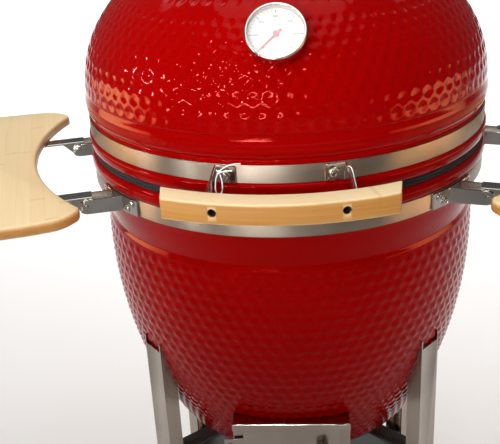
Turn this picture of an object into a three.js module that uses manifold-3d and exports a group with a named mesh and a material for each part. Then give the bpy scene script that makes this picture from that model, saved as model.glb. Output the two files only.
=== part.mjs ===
import * as THREE from 'three';
import { mergeVertices } from 'three/addons/utils/BufferGeometryUtils.js';
import Module from 'manifold-3d';

// A ceramic kamado grill on a rolling stand. Millimetres, +Z up, the front faces -Y.
// The origin is on the floor, on the bowl's axis. Azimuths are degrees from the front towards +X.

const wasm = await Module();
wasm.setup();

// ---- driving dimensions
const standHeight = 380;        // floor to the underside of the bowl
const bowlDepth = 490;          // underside of the bowl to its rim
const rimRadius = 300;          // both ceramic rims
const rimWidth = 30;            // flat of the rims, under the gaskets
const wall = 24;                // ceramic wall of bowl and lid
const domeRise = 216;           // rise of the dome above its straight skirt
const skirtHeight = 84;         // lid rim to the start of the dome
const neckRadius = 77;          // outside of the chimney neck
const chimneyRadius = 62;
const gasketThickness = 4.85;
const lipHeight = 20;           // rounded ceramic lips beside the seam
const lipBulge = 4.2;
const bandHeight = 24.6;        // stainless bands
const bandThickness = 2;
const gap = 0.3;                // between pieces that touch
const sides = 48;               // facets of the round shells
const hingeReach = 50;          // rim to hinge pin, behind the bowl
const handleReach = 45;         // band to the back of the handle
const handleDepth = 34;
const handleHeight = 28;
const handleHalfAngle = 25.8;
const shelfAzimuth = 74.5;
const shelfGap = 87;            // rim to the shelf's inner arc
const shelfHalfWidth = 240;
const shelfReach = 285;         // rim to the shelf's outer edge
const shelfThickness = 17;
const postAzimuth = 50;
const postWidth = 44;
const postDepth = 24;
const sheet = 2.5;              // folded stainless sheet
const wheelRadius = 37.5;
const wheelWidth = 24;
const draftWidth = 120;
const draftHeight = 54;
const thermometerHeight = 112;  // centre of the dial above the skirt
const thermometerRadius = 38;

// ---- sizes that follow
const bowlRimZ = standHeight + bowlDepth;
const lidRimZ = bowlRimZ + 2 * gasketThickness + gap;
const seatRadius = rimRadius - 1.3;
const bandInner = seatRadius + gap;
const bandOuter = bandInner + bandThickness;
const clampRadius = bandOuter + 0.4;          // inside of what is bolted to a band
const seatStart = lipHeight + 1;
const seatEnd = seatStart + bandHeight + 2 * gap;
const gasketInner = rimRadius - rimWidth + 3;
const gasketOuter = rimRadius - 1;

// ---- finishes
const finish = (color, roughness, metalness) =>
  new THREE.MeshStandardMaterial({ color, roughness, metalness });
const red = finish(0xb10100, 0.08, 0);
const felt = finish(0x1d1b1c, 0.95, 0);
const steel = finish(0x99826f, 0.2, 1);
const chrome = finish(0xb9b4ae, 0.1, 1);
const bamboo = finish(0xf0cf8c, 0.45, 0);
const fireclay = finish(0xb9a58c, 0.9, 0);
const castIron = finish(0x2b2b2c, 0.7, 0.6);
const blackSteel = finish(0x1b1b1d, 0.5, 0.5);
const rubber = finish(0x151515, 0.85, 0);
const dialWhite = finish(0xf2f0ea, 0.5, 0);
const pointerRed = finish(0xb01812, 0.4, 0);
const glass = finish(0xffffff, 0.05, 0);
const cotton = finish(0xf2eee6, 0.9, 0);

const kamado = new THREE.Group();

// ---- helpers
const radians = THREE.MathUtils.degToRad;

function solid(geometry) {
  const bare = geometry.clone();
  bare.deleteAttribute('normal');
  bare.deleteAttribute('uv');
  const merged = mergeVertices(bare.index ? bare.toNonIndexed() : bare, 1e-4);
  return new wasm.Manifold(new wasm.Mesh({
    numProp: 3,
    vertProperties: new Float32Array(merged.attributes.position.array),
    triVerts: new Uint32Array(merged.index.array),
  }));
}

function add(name, shape, material) {
  const { vertProperties, triVerts } = (shape.isBufferGeometry ? solid(shape) : shape).getMesh();
  const geometry = new THREE.BufferGeometry();
  geometry.setAttribute('position', new THREE.BufferAttribute(vertProperties, 3));
  geometry.setIndex(new THREE.BufferAttribute(triVerts, 1));
  geometry.computeVertexNormals();
  const mesh = new THREE.Mesh(geometry, material);
  mesh.name = name;
  kamado.add(mesh);
}

const join = (...geometries) => geometries.map(solid).reduce((sum, piece) => sum.add(piece));
const cut = (body, ...tools) =>
  tools.map((tool) => (tool.isBufferGeometry ? solid(tool) : tool))
    .reduce((rest, tool) => rest.subtract(tool), body.isBufferGeometry ? solid(body) : body);
const box = (x0, x1, y0, y1, z0, z1) =>
  new THREE.BoxGeometry(x1 - x0, y1 - y0, z1 - z0)
    .translate((x0 + x1) / 2, (y0 + y1) / 2, (z0 + z1) / 2);
const turned = (geometry, azimuth) => geometry.clone().rotateZ(radians(azimuth));
const onCircle = (radius, azimuth) =>
  [radius * Math.sin(radians(azimuth)), -radius * Math.cos(radians(azimuth))];

// A closed [radius, z] outline turned about Z; one that touches the axis stays open there.
function revolve(outline, segments = sides) {
  const points = outline.map(([r, z]) => new THREE.Vector2(r, z));
  if (THREE.ShapeUtils.area(points) < 0) points.reverse();
  const onAxis = points.filter((point) => point.x < 1e-6).length;
  if (onAxis) while (points[0].x > 1e-6 || points[points.length - 1].x > 1e-6) {
    points.push(points.shift());
  }
  else points.push(points[0].clone());
  return new THREE.LatheGeometry(points, segments).rotateX(Math.PI / 2);
}

const ring = (inner, outer, z0, z1, segments = sides) =>
  revolve([[inner, z0], [outer, z0], [outer, z1], [inner, z1]], segments);
const disc = (radius, z0, z1, segments = sides) =>
  revolve([[0, z0], [radius, z0], [radius, z1], [0, z1]], segments);

// A bar that follows the bands' curve between two azimuths.
function sector(inner, outer, z0, z1, from, to, steps = 6) {
  const at = (radius, i) => new THREE.Vector2(...onCircle(radius, from + (to - from) * i / steps));
  const points = [];
  for (let i = 0; i <= steps; i++) points.push(at(outer, i));
  for (let i = steps; i >= 0; i--) points.push(at(inner, i));
  return new THREE.ExtrudeGeometry(new THREE.Shape(points), { depth: z1 - z0, bevelEnabled: false })
    .translate(0, 0, z0);
}

// A [y, z] outline as a plate between two x values.
function sidePlate(outline, x0, x1) {
  const shape = new THREE.Shape(outline.map(([y, z]) => new THREE.Vector2(y, z)));
  const turn = new THREE.Matrix4().makeBasis(
    new THREE.Vector3(0, 1, 0), new THREE.Vector3(0, 0, 1), new THREE.Vector3(1, 0, 0));
  return new THREE.ExtrudeGeometry(shape, { depth: x1 - x0, bevelEnabled: false })
    .applyMatrix4(turn).translate(x0, 0, 0);
}

// An [x, y] outline as a plate between two heights.
const flatPlate = (points, z0, z1) =>
  new THREE.ExtrudeGeometry(new THREE.Shape(points.map(([x, y]) => new THREE.Vector2(x, y))),
    { depth: z1 - z0, bevelEnabled: false }).translate(0, 0, z0);

function rod(from, to, radius, segments = 16) {
  const start = new THREE.Vector3(...from);
  const along = new THREE.Vector3(...to).sub(start);
  return new THREE.CylinderGeometry(radius, radius, along.length(), segments)
    .translate(0, along.length() / 2, 0)
    .applyQuaternion(new THREE.Quaternion()
      .setFromUnitVectors(new THREE.Vector3(0, 1, 0), along.clone().normalize()))
    .translate(start.x, start.y, start.z);
}

// Points on an ellipse centred on the axis, from one height above its centre to another.
function ellipse(a, b, centre, from, to, steps) {
  const angle = (z) => Math.asin(THREE.MathUtils.clamp(z / b, -1, 1));
  return Array.from({ length: steps + 1 }, (_, i) => {
    const t = THREE.MathUtils.lerp(angle(from), angle(to), i / steps);
    return [a * Math.cos(t), centre + b * Math.sin(t)];
  });
}
const ellipseRise = (a, b, radius) => b * Math.sqrt(1 - (radius / a) ** 2);

// ---- ceramic bowl
const shoulder = 140;           // rim to where the bowl's ellipse starts
const bellyRadius = rimRadius - 12.5;
const bellyDepth = bowlDepth - 30;
const footCorner = 21;
const shoulderZ = bowlRimZ - shoulder;
const bowlBottomZ = bowlRimZ - bowlDepth;
const innerBelly = bellyRadius - wall;
const innerBellyDepth = bellyDepth - wall;

function bowlOutside(offset) {
  const z = (depth) => bowlRimZ - depth;
  return [
    [rimRadius + offset, z(0)], [rimRadius + lipBulge + offset, z(7)],
    [rimRadius + 3 + offset, z(18)],
    [seatRadius + offset, z(lipHeight)], [seatRadius + offset, z(seatEnd - 1)],
    [rimRadius - 6 + offset, z(seatEnd + 1)], [rimRadius - 10 + offset, z(72)],
    [rimRadius - 16.5 + offset, z(98)],
    [rimRadius - 13.5 + offset, z(106)],
    ...ellipse(bellyRadius + offset, bellyDepth + offset, shoulderZ, 0,
      footCorner - (bowlDepth - shoulder), 6),
  ];
}
const footRadius = bellyRadius *
  Math.sqrt(1 - ((bowlDepth - shoulder - footCorner) / bellyDepth) ** 2);
const innerFloorZ = bowlBottomZ + wall;

function bowl() {
  const inside = ellipse(innerBelly, innerBellyDepth, shoulderZ,
    innerFloorZ - shoulderZ, 0, 4);
  const shell = revolve([
    ...bowlOutside(0),
    [footRadius - 13, bowlBottomZ + 5], [footRadius - 30, bowlBottomZ], [0, bowlBottomZ],
    [0, innerFloorZ], ...inside, [rimRadius - rimWidth - 2, bowlRimZ - 50],
    [rimRadius - rimWidth, bowlRimZ],
  ]);
  const port = box(-draftWidth / 2, draftWidth / 2, -rimRadius, -footRadius / 2,
    draftZ - draftHeight / 2, draftZ + draftHeight / 2);
  add('base_shell', cut(shell, port), red);
}

// ---- ceramic lid
const skirtRadius = rimRadius + 3;
const skirtZ = lidRimZ + skirtHeight;
const innerDome = skirtRadius - wall - 2;
const neckTopZ = skirtZ + domeRise + 2;

function lidOutside() {
  const z = (height) => lidRimZ + height;
  return [
    [rimRadius, z(0)], [rimRadius + lipBulge, z(7)], [rimRadius + 3, z(18)],
    [seatRadius, z(lipHeight)], [seatRadius, z(seatEnd - 1)],
    [rimRadius + 1, z(seatEnd + 0.5)], [rimRadius - 3.2, z(51.2)], [rimRadius - 3.2, z(54.2)],
    [skirtRadius, z(58.5)],
    ...ellipse(skirtRadius, domeRise, skirtZ, 0, ellipseRise(skirtRadius, domeRise, neckRadius), 6),
  ];
}

// The thermometer's frame: its axis leaves the dome square to it, in the plane x = 0.
const dialRadius = skirtRadius * Math.sqrt(1 - (thermometerHeight / domeRise) ** 2);
const dialTilt = Math.atan2(thermometerHeight / domeRise ** 2, dialRadius / skirtRadius ** 2);
const dialFrame = (geometry) => geometry.clone().rotateX(Math.PI / 2 - dialTilt)
  .translate(0, -dialRadius, skirtZ + thermometerHeight);
const probeRadius = 3;
const probeHole = 7;
const coldAngle = 135;         // the cold needle, anticlockwise from the dial's top

function lid() {
  const inside = ellipse(innerDome, domeRise - wall, skirtZ,
    ellipseRise(innerDome, domeRise - wall, chimneyRadius), 0, 4);
  const shell = revolve([
    ...lidOutside(), [neckRadius, neckTopZ], [chimneyRadius, neckTopZ],
    ...inside, [rimRadius - rimWidth + 4, lidRimZ + 30], [rimRadius - rimWidth, lidRimZ],
  ]);
  add('lid_shell', cut(shell, dialFrame(rod([0, 0, -2 * wall], [0, 0, wall], probeHole))), red);
}

// ---- gaskets and bands
function seams() {
  add('base_gasket', ring(gasketInner, gasketOuter, bowlRimZ + gap / 2,
    bowlRimZ + gap / 2 + gasketThickness - gap / 2), felt);
  add('lid_gasket', ring(gasketInner, gasketOuter, lidRimZ - gasketThickness,
    lidRimZ - gap / 2), felt);
  add('base_band', ring(bandInner, bandOuter, bowlRimZ - seatEnd + gap + 1,
    bowlRimZ - seatStart + gap), steel);
  add('lid_band', ring(bandInner, bandOuter, lidRimZ + seatStart - gap,
    lidRimZ + seatEnd - gap - 1), steel);
}
const lidBandLow = lidRimZ + seatStart + 0.5;
const lidBandHigh = lidRimZ + seatEnd - 1.8;
const baseBandHigh = bowlRimZ - seatStart - 0.5;
const baseBandLow = bowlRimZ - seatEnd + 1.8;

// ---- fire box, fire ring and grates
const linerGap = 4;
const linerWall = 22;
const linerTopDepth = 220;
const ledgeHeight = 87;         // liner floor to the ledge under the charcoal grate
const linerFloorZ = innerFloorZ + linerGap;
const linerTopZ = bowlRimZ - linerTopDepth;
const ledgeZ = linerFloorZ + ledgeHeight;
const ringTopZ = bowlRimZ - 52;
const draftZ = linerFloorZ + 18 + draftHeight / 2;
const linerOuter = (z) => (innerBelly - linerGap) *
  Math.sqrt(1 - ((shoulderZ - z) / (innerBellyDepth - linerGap)) ** 2);

function fireParts() {
  const outer = ellipse(innerBelly - linerGap, innerBellyDepth - linerGap, shoulderZ,
    linerFloorZ - shoulderZ, linerTopZ - shoulderZ, 4);
  const ledge = linerOuter(ledgeZ) - linerWall - 14;
  const fireBox = revolve([
    [60, linerFloorZ], ...outer, [linerOuter(linerTopZ) - linerWall, linerTopZ],
    [linerOuter(ledgeZ) - linerWall, ledgeZ], [ledge, ledgeZ],
    [ledge - 22, linerFloorZ + 18], [60, linerFloorZ + 18],
  ], 28);
  const airWay = box(-draftWidth / 2 + 5, draftWidth / 2 - 5, -rimRadius, -50,
    linerFloorZ + 18.5, draftZ + draftHeight / 2 - 4);
  add('firebox', cut(fireBox, airWay), fireclay);
  const ringOuter = linerOuter(linerTopZ);
  add('fire_ring', ring(ringOuter - linerWall + 2, ringOuter, linerTopZ + gap, ringTopZ, 28),
    fireclay);
}

// A plate with slots for the charcoal and a grid of bars for the food.
function grates() {
  const coalRadius = linerOuter(ledgeZ) - linerWall - 3;
  const slots = [];
  for (let row = -3; row <= 3; row++) {
    const y = row * coalRadius * 0.25;
    const half = Math.sqrt((coalRadius * 0.88) ** 2 - y * y);
    slots.push(box(-half, -8, y - 8, y + 8, ledgeZ - 1, ledgeZ + 20),
      box(8, half, y - 8, y + 8, ledgeZ - 1, ledgeZ + 20));
  }
  add('charcoal_grate', cut(disc(coalRadius, ledgeZ + gap, ledgeZ + gap + 9, 32), ...slots),
    castIron);

  const rimOuter = linerOuter(linerTopZ) - 5;
  const wire = 8;
  const low = ringTopZ + gap;
  const bars = [ring(rimOuter - wire, rimOuter, low, low + wire, 28)];
  const barPitch = 42;
  const rows = Math.floor((rimOuter - 30) / barPitch);
  for (let row = -rows; row <= rows; row++) {
    const y = row * barPitch;
    const half = Math.sqrt((rimOuter - wire / 2) ** 2 - y * y);
    bars.push(box(-half, half, y - 2.5, y + 2.5, low + 2.6, low + 7.6));
  }
  for (const x of [-0.38 * rimOuter, 0.38 * rimOuter]) {
    const half = Math.sqrt((rimOuter - wire / 2) ** 2 - x * x);
    bars.push(box(x - 2.5, x + 2.5, -half, half, low + 0.4, low + 5));
  }
  add('cooking_grate', join(...bars), chrome);
}

// ---- draft door: a frame on the bowl with two tracks, a sliding plate and a sliding screen
const draftHalf = draftWidth / 2 + 28;
const railHeight = 12;
const trackDepth = 4;
const slideSheet = 2.8;
const bowlRadiusAt = (z) => bellyRadius * Math.sqrt(1 - ((shoulderZ - z) / bellyDepth) ** 2);
const draftTop = draftZ + draftHeight / 2 + 6;
const draftBottom = draftZ - draftHeight / 2 - 6;
const draftBack = -bowlRadiusAt(draftTop + railHeight) - 2;
const draftFront = draftBack - 13.5;
const innerTrack = draftBack - 2.2;
const outerTrack = draftBack - 7.4;

function draftDoor() {
  const block = box(-draftHalf, draftHalf, draftBack, -footRadius * 0.6,
    draftBottom - railHeight, draftTop + railHeight);
  const window_ = box(-draftWidth / 2, draftWidth / 2, draftBack - 1, 0,
    draftZ - draftHeight / 2, draftZ + draftHeight / 2);
  const rail = (z0, z1) => box(-draftHalf, draftHalf, draftFront, draftBack + 1, z0, z1);
  const tracks = [innerTrack, outerTrack].map((y) => box(-draftHalf - 1, draftHalf + 1,
    y - slideSheet - 2 * gap, y, draftBottom - trackDepth, draftTop + trackDepth));
  const frame = cut(join(block, rail(draftTop, draftTop + railHeight),
    rail(draftBottom - railHeight, draftBottom)), window_, revolve([[0, 0],
    [footRadius - 30, 0], [footRadius - 30, bowlBottomZ], ...bowlOutside(gap).reverse(),
    [0, bowlRimZ]]), ...tracks);
  add('draft_frame', frame, steel);

  const low = draftBottom - trackDepth + gap;
  const high = draftTop + trackDepth - gap;
  const doorHalf = draftWidth / 2 + 12;
  const doorY = outerTrack - gap;
  const knobX = doorHalf - 26;
  add('draft_door', join(box(-doorHalf, doorHalf, doorY - slideSheet, doorY, low, high),
    rod([knobX, doorY - slideSheet + 1, draftZ], [knobX, doorY - 16, draftZ], 4),
    rod([knobX, doorY - 13, draftZ], [knobX, doorY - 24, draftZ], 9)), steel);

  const screenY = innerTrack - gap;
  const holes = [];
  for (let i = -3; i <= 3; i++) for (let j = -1; j <= 1; j++) {
    holes.push(box(i * 16 - 6.5, i * 16 + 6.5, screenY - 9, screenY + 9,
      draftZ + j * 15 - 6, draftZ + j * 15 + 6));
  }
  const tabX = -doorHalf - 30;
  const tabHole = rod([tabX + 9, screenY - 9, draftZ], [tabX + 9, screenY + 9, draftZ], 5);
  add('ash_screen', cut(join(box(-doorHalf, doorHalf, screenY - slideSheet, screenY, low, high),
    box(tabX, -doorHalf + 1, screenY - slideSheet, screenY, draftZ - 12, draftZ + 12)),
  ...holes, tabHole), steel);
}

// ---- rear hinge
const pinY = rimRadius + hingeReach;
const pinZ = lidRimZ + 4;
const pinRadius = 6;
const runningGap = 0.5;
const hingeSheet = 5;
const baseCheekX = 78;
const lidCheekX = 24;

function hinge() {
  const pinHole = rod([-100, pinY, pinZ], [100, pinY, pinZ], pinRadius + 0.3, 16);
  const eye = (radius, from, to) => Array.from({ length: 6 }, (_, i) => {
    const angle = radians(from + (to - from) * i / 5);
    return [pinY + radius * Math.cos(angle), pinZ + radius * Math.sin(angle)];
  });
  const cheek = [[bandOuter - 22, baseBandLow], [bandOuter + 18, baseBandLow],
    ...eye(20, -30, 150), [bandOuter + 8, baseBandHigh], [bandOuter - 22, baseBandHigh]];
  const plate = sector(clampRadius, clampRadius + 4, baseBandLow, baseBandHigh, 162, 198, 6);
  const trimmed = disc(clampRadius, baseBandLow - 5, lidRimZ + 60);
  const cheeks = [-1, 1].map((side) => sidePlate(cheek,
    side * baseCheekX - hingeSheet / 2, side * baseCheekX + hingeSheet / 2));
  add('hinge_base', cut(join(plate, ...cheeks), trimmed, pinHole), steel);

  const lidCheek = [[bandOuter - 12, lidBandLow], [bandOuter + 7, lidBandLow],
    [pinY - 13, pinZ - 2], ...eye(14, -140, 60),
    [bandOuter + 14, lidBandHigh], [bandOuter - 12, lidBandHigh]];
  const lidPlate = sector(clampRadius, clampRadius + 4, lidBandLow, lidBandHigh, 168, 192, 4);
  const lidCheeks = [-1, 1].map((side) => sidePlate(lidCheek,
    side * lidCheekX - hingeSheet / 2, side * lidCheekX + hingeSheet / 2));
  add('hinge_lid', cut(join(lidPlate, ...lidCheeks), disc(clampRadius, lidRimZ, lidRimZ + 80),
    pinHole), steel);

  const end = baseCheekX + hingeSheet / 2 + gap;
  add('hinge_pin', join(rod([-end, pinY, pinZ], [end, pinY, pinZ], pinRadius, 16),
    rod([-end - 6, pinY, pinZ], [-end, pinY, pinZ], 10, 16),
    rod([end, pinY, pinZ], [end + 6, pinY, pinZ], 10, 16)), chrome);

  const inner = lidCheekX + hingeSheet / 2 + 1;
  const outer = baseCheekX - hingeSheet / 2 - 1;
  for (const [name, side] of [['hinge_spring_left', -1], ['hinge_spring_right', 1]]) {
    const coil = ring(pinRadius + runningGap, 13, inner, outer, 20).rotateY(side * Math.PI / 2)
      .translate(0, pinY, pinZ);
    add(name, coil, blackSteel);
  }
}

// ---- handle with its two straps
const handleInner = bandOuter + handleReach;
const handleOuter = handleInner + handleDepth;
const handleLow = lidRimZ - 2;
const handleHigh = handleLow + handleHeight;
const strapAzimuth = 13.2;
const screwAzimuth = 12.3;
const strapSheet = 3;
const screwZ = handleLow + handleHeight / 2 + 1.5;

function handle() {
  const frontHalfAngle = handleHalfAngle - 3.2;
  const points = [];
  const steps = 16;
  for (let i = 0; i <= steps; i++) {
    points.push(onCircle(handleOuter, frontHalfAngle * (2 * i / steps - 1)));
  }
  points.push(onCircle(handleOuter - 9, handleHalfAngle - 2.2));
  for (let i = steps; i >= 0; i--) {
    points.push(onCircle(handleInner, handleHalfAngle * (2 * i / steps - 1)));
  }
  points.push(onCircle(handleOuter - 9, 2.2 - handleHalfAngle));
  const bores = [-screwAzimuth, screwAzimuth].flatMap((azimuth) => {
    const at = (radius) => [...onCircle(radius, azimuth), screwZ];
    return [rod(at(handleOuter - 16), at(handleOuter + 5), 5, 12),
      rod(at(handleInner - 5), at(handleOuter), 2.6, 8)];
  });
  add('lid_handle', cut(flatPlate(points, handleLow, handleHigh), ...bores), bamboo);
}

function handleStraps() {
  const back = -(handleInner - 3 * gap);              // the strap's flange behind the handle
  const front = -clampRadius;
  const flangeHigh = handleHigh - 2;
  const arm = [[front - strapSheet, lidBandLow], [front - strapSheet, lidBandHigh],
    [back + strapSheet, flangeHigh], [back, flangeHigh], [back, handleLow + 4],
    [back + strapSheet, handleLow + 4]];
  const outline = (side) => {
    const edge = side * 14.5;
    const x0 = Math.min(edge, edge - side * strapSheet);
    return join(
      box(Math.min(edge, -side * 13.5), Math.max(edge, -side * 13.5), front - strapSheet, front,
        lidBandLow, lidBandHigh),
      sidePlate(arm, x0, x0 + strapSheet),
      box(Math.min(edge, -side * 12), Math.max(edge, -side * 12), back, back + strapSheet,
        handleLow + 4, flangeHigh),
      rod([0, front - strapSheet + 0.5, (lidBandLow + lidBandHigh) / 2],
        [0, front - strapSheet - 4, (lidBandLow + lidBandHigh) / 2], 6, 16));
  };
  for (const [name, side] of [['handle_strap_left', -1], ['handle_strap_right', 1]]) {
    add(name, outline(side), chrome);
    kamado.children.at(-1).rotation.z = radians(side * strapAzimuth);
  }
}

// ---- cotton ties left on the straps: [across, outward, height over the lid's rim] in a strap's frame
const stringRadius = 0.8;
const leftTie = [
  [-9, 312, 41.5], [-5.5, 312.8, 38.6], [-2.6, 314, 33.5], [-0.8, 315.5, 26], [-0.6, 317, 18.5],
  [-2.4, 318.8, 12.6], [-5.6, 320, 11.4], [-8.2, 319.8, 15.4], [-8.8, 318.8, 24], [-7.6, 317.6, 33],
  [-3.8, 316.2, 40.5], [2, 314.6, 46], [9, 313.6, 49.5], [16, 313.2, 51.5], [24, 313.6, 52.5],
];
const rightTie = [
  [12.6, 312, 41.4], [15.4, 312.8, 41.6], [17.8, 314.2, 39], [19, 316, 34], [19.8, 318.2, 28],
  [20.6, 321.4, 21], [21.4, 325.6, 14.5], [22.2, 330.6, 8.8], [23, 336, 4],
];

function ties() {
  for (const [name, side, route] of [
    ['tie_string_left', -1, leftTie], ['tie_string_right', 1, rightTie]]) {
    const path = new THREE.CatmullRomCurve3(route.map(([x, reach, height]) =>
      new THREE.Vector3(x, -reach, lidRimZ + height)));
    const section = new THREE.Shape(Array.from({ length: 8 }, (_, i) =>
      new THREE.Vector2(stringRadius, 0).rotateAround(new THREE.Vector2(), i * Math.PI / 4)));
    const steps = Math.ceil(path.getLength() / (5 * stringRadius));
    add(name, new THREE.ExtrudeGeometry(section, { steps, extrudePath: path }), cotton);
    kamado.children.at(-1).rotation.z = radians(side * strapAzimuth);
  }
}

// ---- thermometer, drawn along +Z and set square to the dome
function thermometer() {
  const depth = 18;
  const shellThickness = 2;
  const r = thermometerRadius;
  const back = 1;
  const cup = revolve([[probeRadius, back], [r, back], [r, depth], [r - shellThickness, depth],
    [r - shellThickness, back + shellThickness], [probeRadius, back + shellThickness]], 24);
  const stem = rod([0, 0, -wall - 60], [0, 0, back + shellThickness], probeRadius + 0.6, 12);
  const nut = rod([0, 0, 0.2], [0, 0, back + 1], 9, 6);
  add('thermometer_case', join(...[cup, stem, nut].map(dialFrame)), chrome);
  const inside = r - shellThickness - gap;
  const dialZ = back + shellThickness + gap;
  add('thermometer_dial', dialFrame(disc(inside, dialZ, dialZ + 4, 24)), dialWhite);
  const needleZ = dialZ + 5;
  const needle = flatPlate([[-1.6, -9], [1.6, -9], [0.5, inside - 7], [-0.5, inside - 7]],
    needleZ, needleZ + 1).rotateZ(radians(coldAngle));
  const hub = rod([0, 0, needleZ], [0, 0, needleZ + 2.4], 4);
  add('thermometer_pointer', join(...[needle, hub].map(dialFrame)), pointerRed);
  add('thermometer_glass', dialFrame(disc(inside, depth - 4, depth - 2, 24)), glass);
}

// ---- top vent: collar on the neck, a plate that swings aside and a wheel that turns on it
const ventHoles = 5;
const ventHoleRadius = 11;
const ventHoleCircle = 34;
const ventRadius = neckRadius - 1;
const ventBaseZ = neckTopZ + 3;
const ventTopZ = ventBaseZ + 18;
const plateThickness = 5;
const pivotX = ventRadius - 1;

function topVent() {
  add('vent_gasket', ring(chimneyRadius + 1, ventRadius, neckTopZ + gap, ventBaseZ - gap, 24), felt);
  const collar = revolve([[chimneyRadius - 6, neckTopZ - 24], [chimneyRadius - 1, neckTopZ - 24],
    [chimneyRadius - 1, ventBaseZ], [ventRadius, ventBaseZ], [ventRadius, ventBaseZ + 6],
    [ventRadius - 9, ventTopZ], [chimneyRadius - 6, ventTopZ]], 24);
  const ear = rod([pivotX, 0, ventBaseZ], [pivotX, 0, ventTopZ], 9);
  const stud = rod([pivotX, 0, ventTopZ - 5], [pivotX, 0, ventTopZ + plateThickness + 4], 3.5);
  add('vent_collar', join(collar, ear, stud), castIron);

  const openings = (low, high, offset) => Array.from({ length: ventHoles }, (_, i) => {
    const [x, y] = onCircle(ventHoleCircle, offset + 360 * i / ventHoles);
    return rod([x, y, low], [x, y, high], ventHoleRadius, 10);
  });
  const plateLow = ventTopZ + gap;
  const plateHigh = plateLow + plateThickness;
  const neck = flatPlate([[40, -22], [pivotX, -9], [pivotX, 9], [40, 22]], plateLow, plateHigh);
  const swing = join(disc(ventRadius - 13, plateLow, plateHigh, 24), neck,
    rod([pivotX, 0, plateLow], [pivotX, 0, plateHigh], 9),
    rod([0, 0, plateLow], [0, 0, plateHigh + 9], 4));
  add('vent_slider', cut(swing, rod([pivotX, 0, plateLow - 5], [pivotX, 0, plateHigh + 5], 4),
    ...openings(plateLow - 1, plateHigh + 1, 0)), castIron);

  const wheelLow = plateHigh + gap;
  const wheelHigh = wheelLow + 4;
  const knob = onCircle(ventHoleCircle + 4, 0);
  const wheel = join(disc(ventHoleCircle + 16, wheelLow, wheelHigh, 24),
    rod([...knob, wheelHigh - 1], [...knob, wheelHigh + 14], 6));
  add('vent_wheel', cut(wheel, rod([0, 0, wheelLow - 1], [0, 0, wheelHigh + 1], 4.4),
    ...openings(wheelLow - 1, wheelHigh + 1, 180 / ventHoles)), castIron);
}

// ---- side shelves: brackets on the lower band, straps that fold and bamboo boards
const pivotRadius = rimRadius + 23;
const pivotHeight = (baseBandLow + baseBandHigh) / 2 - 1;
const bracketOffset = 120;
const armSpacing = 14;
const shelfLow = pivotHeight + 14;
const shelfInner = rimRadius + shelfGap;
const shelfOuter = rimRadius + shelfReach;
const strapPlate = 3;

function shelfBracket(name, azimuth, side) {
  const at = (x) => THREE.MathUtils.radToDeg(Math.asin(x / bandOuter));
  const centre = side * bracketOffset;
  const [fewer, more] = side > 0 ? [24, 30] : [30, 24];
  const plate = sector(clampRadius, clampRadius + strapSheet, baseBandLow, baseBandHigh,
    at(centre - armSpacing - fewer), at(centre + armSpacing + more), 5);
  const eye = Array.from({ length: 5 }, (_, i) => {
    const angle = radians(-90 - 45 * i);
    return [-pivotRadius + 10 * Math.cos(angle), pivotHeight + 10 * Math.sin(angle)];
  });
  const arm = [[-bandOuter + 50, baseBandLow], ...eye, [-bandOuter + 50, baseBandHigh]];
  const arms = [-1, 1].map((edge) => sidePlate(arm, centre + edge * armSpacing - strapSheet / 2,
    centre + edge * armSpacing + strapSheet / 2));
  const end = armSpacing + strapSheet / 2 + 3;
  const pin = rod([centre - end, -pivotRadius, pivotHeight], [centre + end, -pivotRadius,
    pivotHeight], 4, 12);
  const shape = join(plate, ...arms).subtract(solid(disc(clampRadius, baseBandLow - 5,
    baseBandHigh + 5)));
  add(name, shape.add(solid(pin)), chrome);
  kamado.children.at(-1).rotation.z = radians(azimuth);
}

function shelfStrap(name, azimuth, side) {
  const centre = side * bracketOffset;
  const half = armSpacing - strapSheet / 2 - 1;
  const top = shelfLow - gap;
  const cheek = [[-pivotRadius + 10, top - 1], [-pivotRadius + 10, pivotHeight],
    [-pivotRadius + 6, pivotHeight - 7], [-pivotRadius - 6, pivotHeight - 7],
    [-pivotRadius - 24, top - strapPlate], [-pivotRadius - 24, top - 1]];
  const cheeks = [-1, 1].map((edge) => sidePlate(cheek,
    Math.min(centre + edge * half, centre + edge * (half - strapPlate)),
    Math.max(centre + edge * half, centre + edge * (half - strapPlate))));
  const bar = box(centre - half, centre + half, -shelfInner - 90, -pivotRadius + 10,
    top - strapPlate, top);
  const hole = rod([centre - 40, -pivotRadius, pivotHeight], [centre + 40, -pivotRadius,
    pivotHeight], 4.4, 12);
  add(name, cut(join(bar, ...cheeks), hole), chrome);
  kamado.children.at(-1).rotation.z = radians(azimuth);
}

function shelfBoard(name, azimuth) {
  const arcHalf = shelfHalfWidth - 41;
  const hornAngle = THREE.MathUtils.radToDeg(Math.asin(arcHalf / shelfInner));
  const hornReach = Math.sqrt(shelfInner ** 2 - arcHalf ** 2);
  const corner = 40;
  const points = [];
  for (let i = 0; i <= 14; i++) points.push(onCircle(shelfInner, hornAngle * (i / 7 - 1)));
  const horn = [[shelfHalfWidth - 29, hornReach + 1], [shelfHalfWidth - 13, hornReach + 15],
    [shelfHalfWidth - 4, hornReach + 32], [shelfHalfWidth, hornReach + 61]];
  const edgeWidth = shelfHalfWidth + 6;
  const round = Array.from({ length: 5 }, (_, i) => {
    const angle = radians(22.5 * i);
    return [edgeWidth - corner + corner * Math.cos(angle),
      shelfOuter - corner + corner * Math.sin(angle)];
  });
  const half = [...horn, ...round].map(([x, reach]) => [x, -reach]);
  points.push(...half, ...half.map(([x, y]) => [-x, y]).reverse());
  add(name, flatPlate(points, shelfLow, shelfLow + shelfThickness), bamboo);
  kamado.children.at(-1).rotation.z = radians(azimuth);
}

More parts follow.
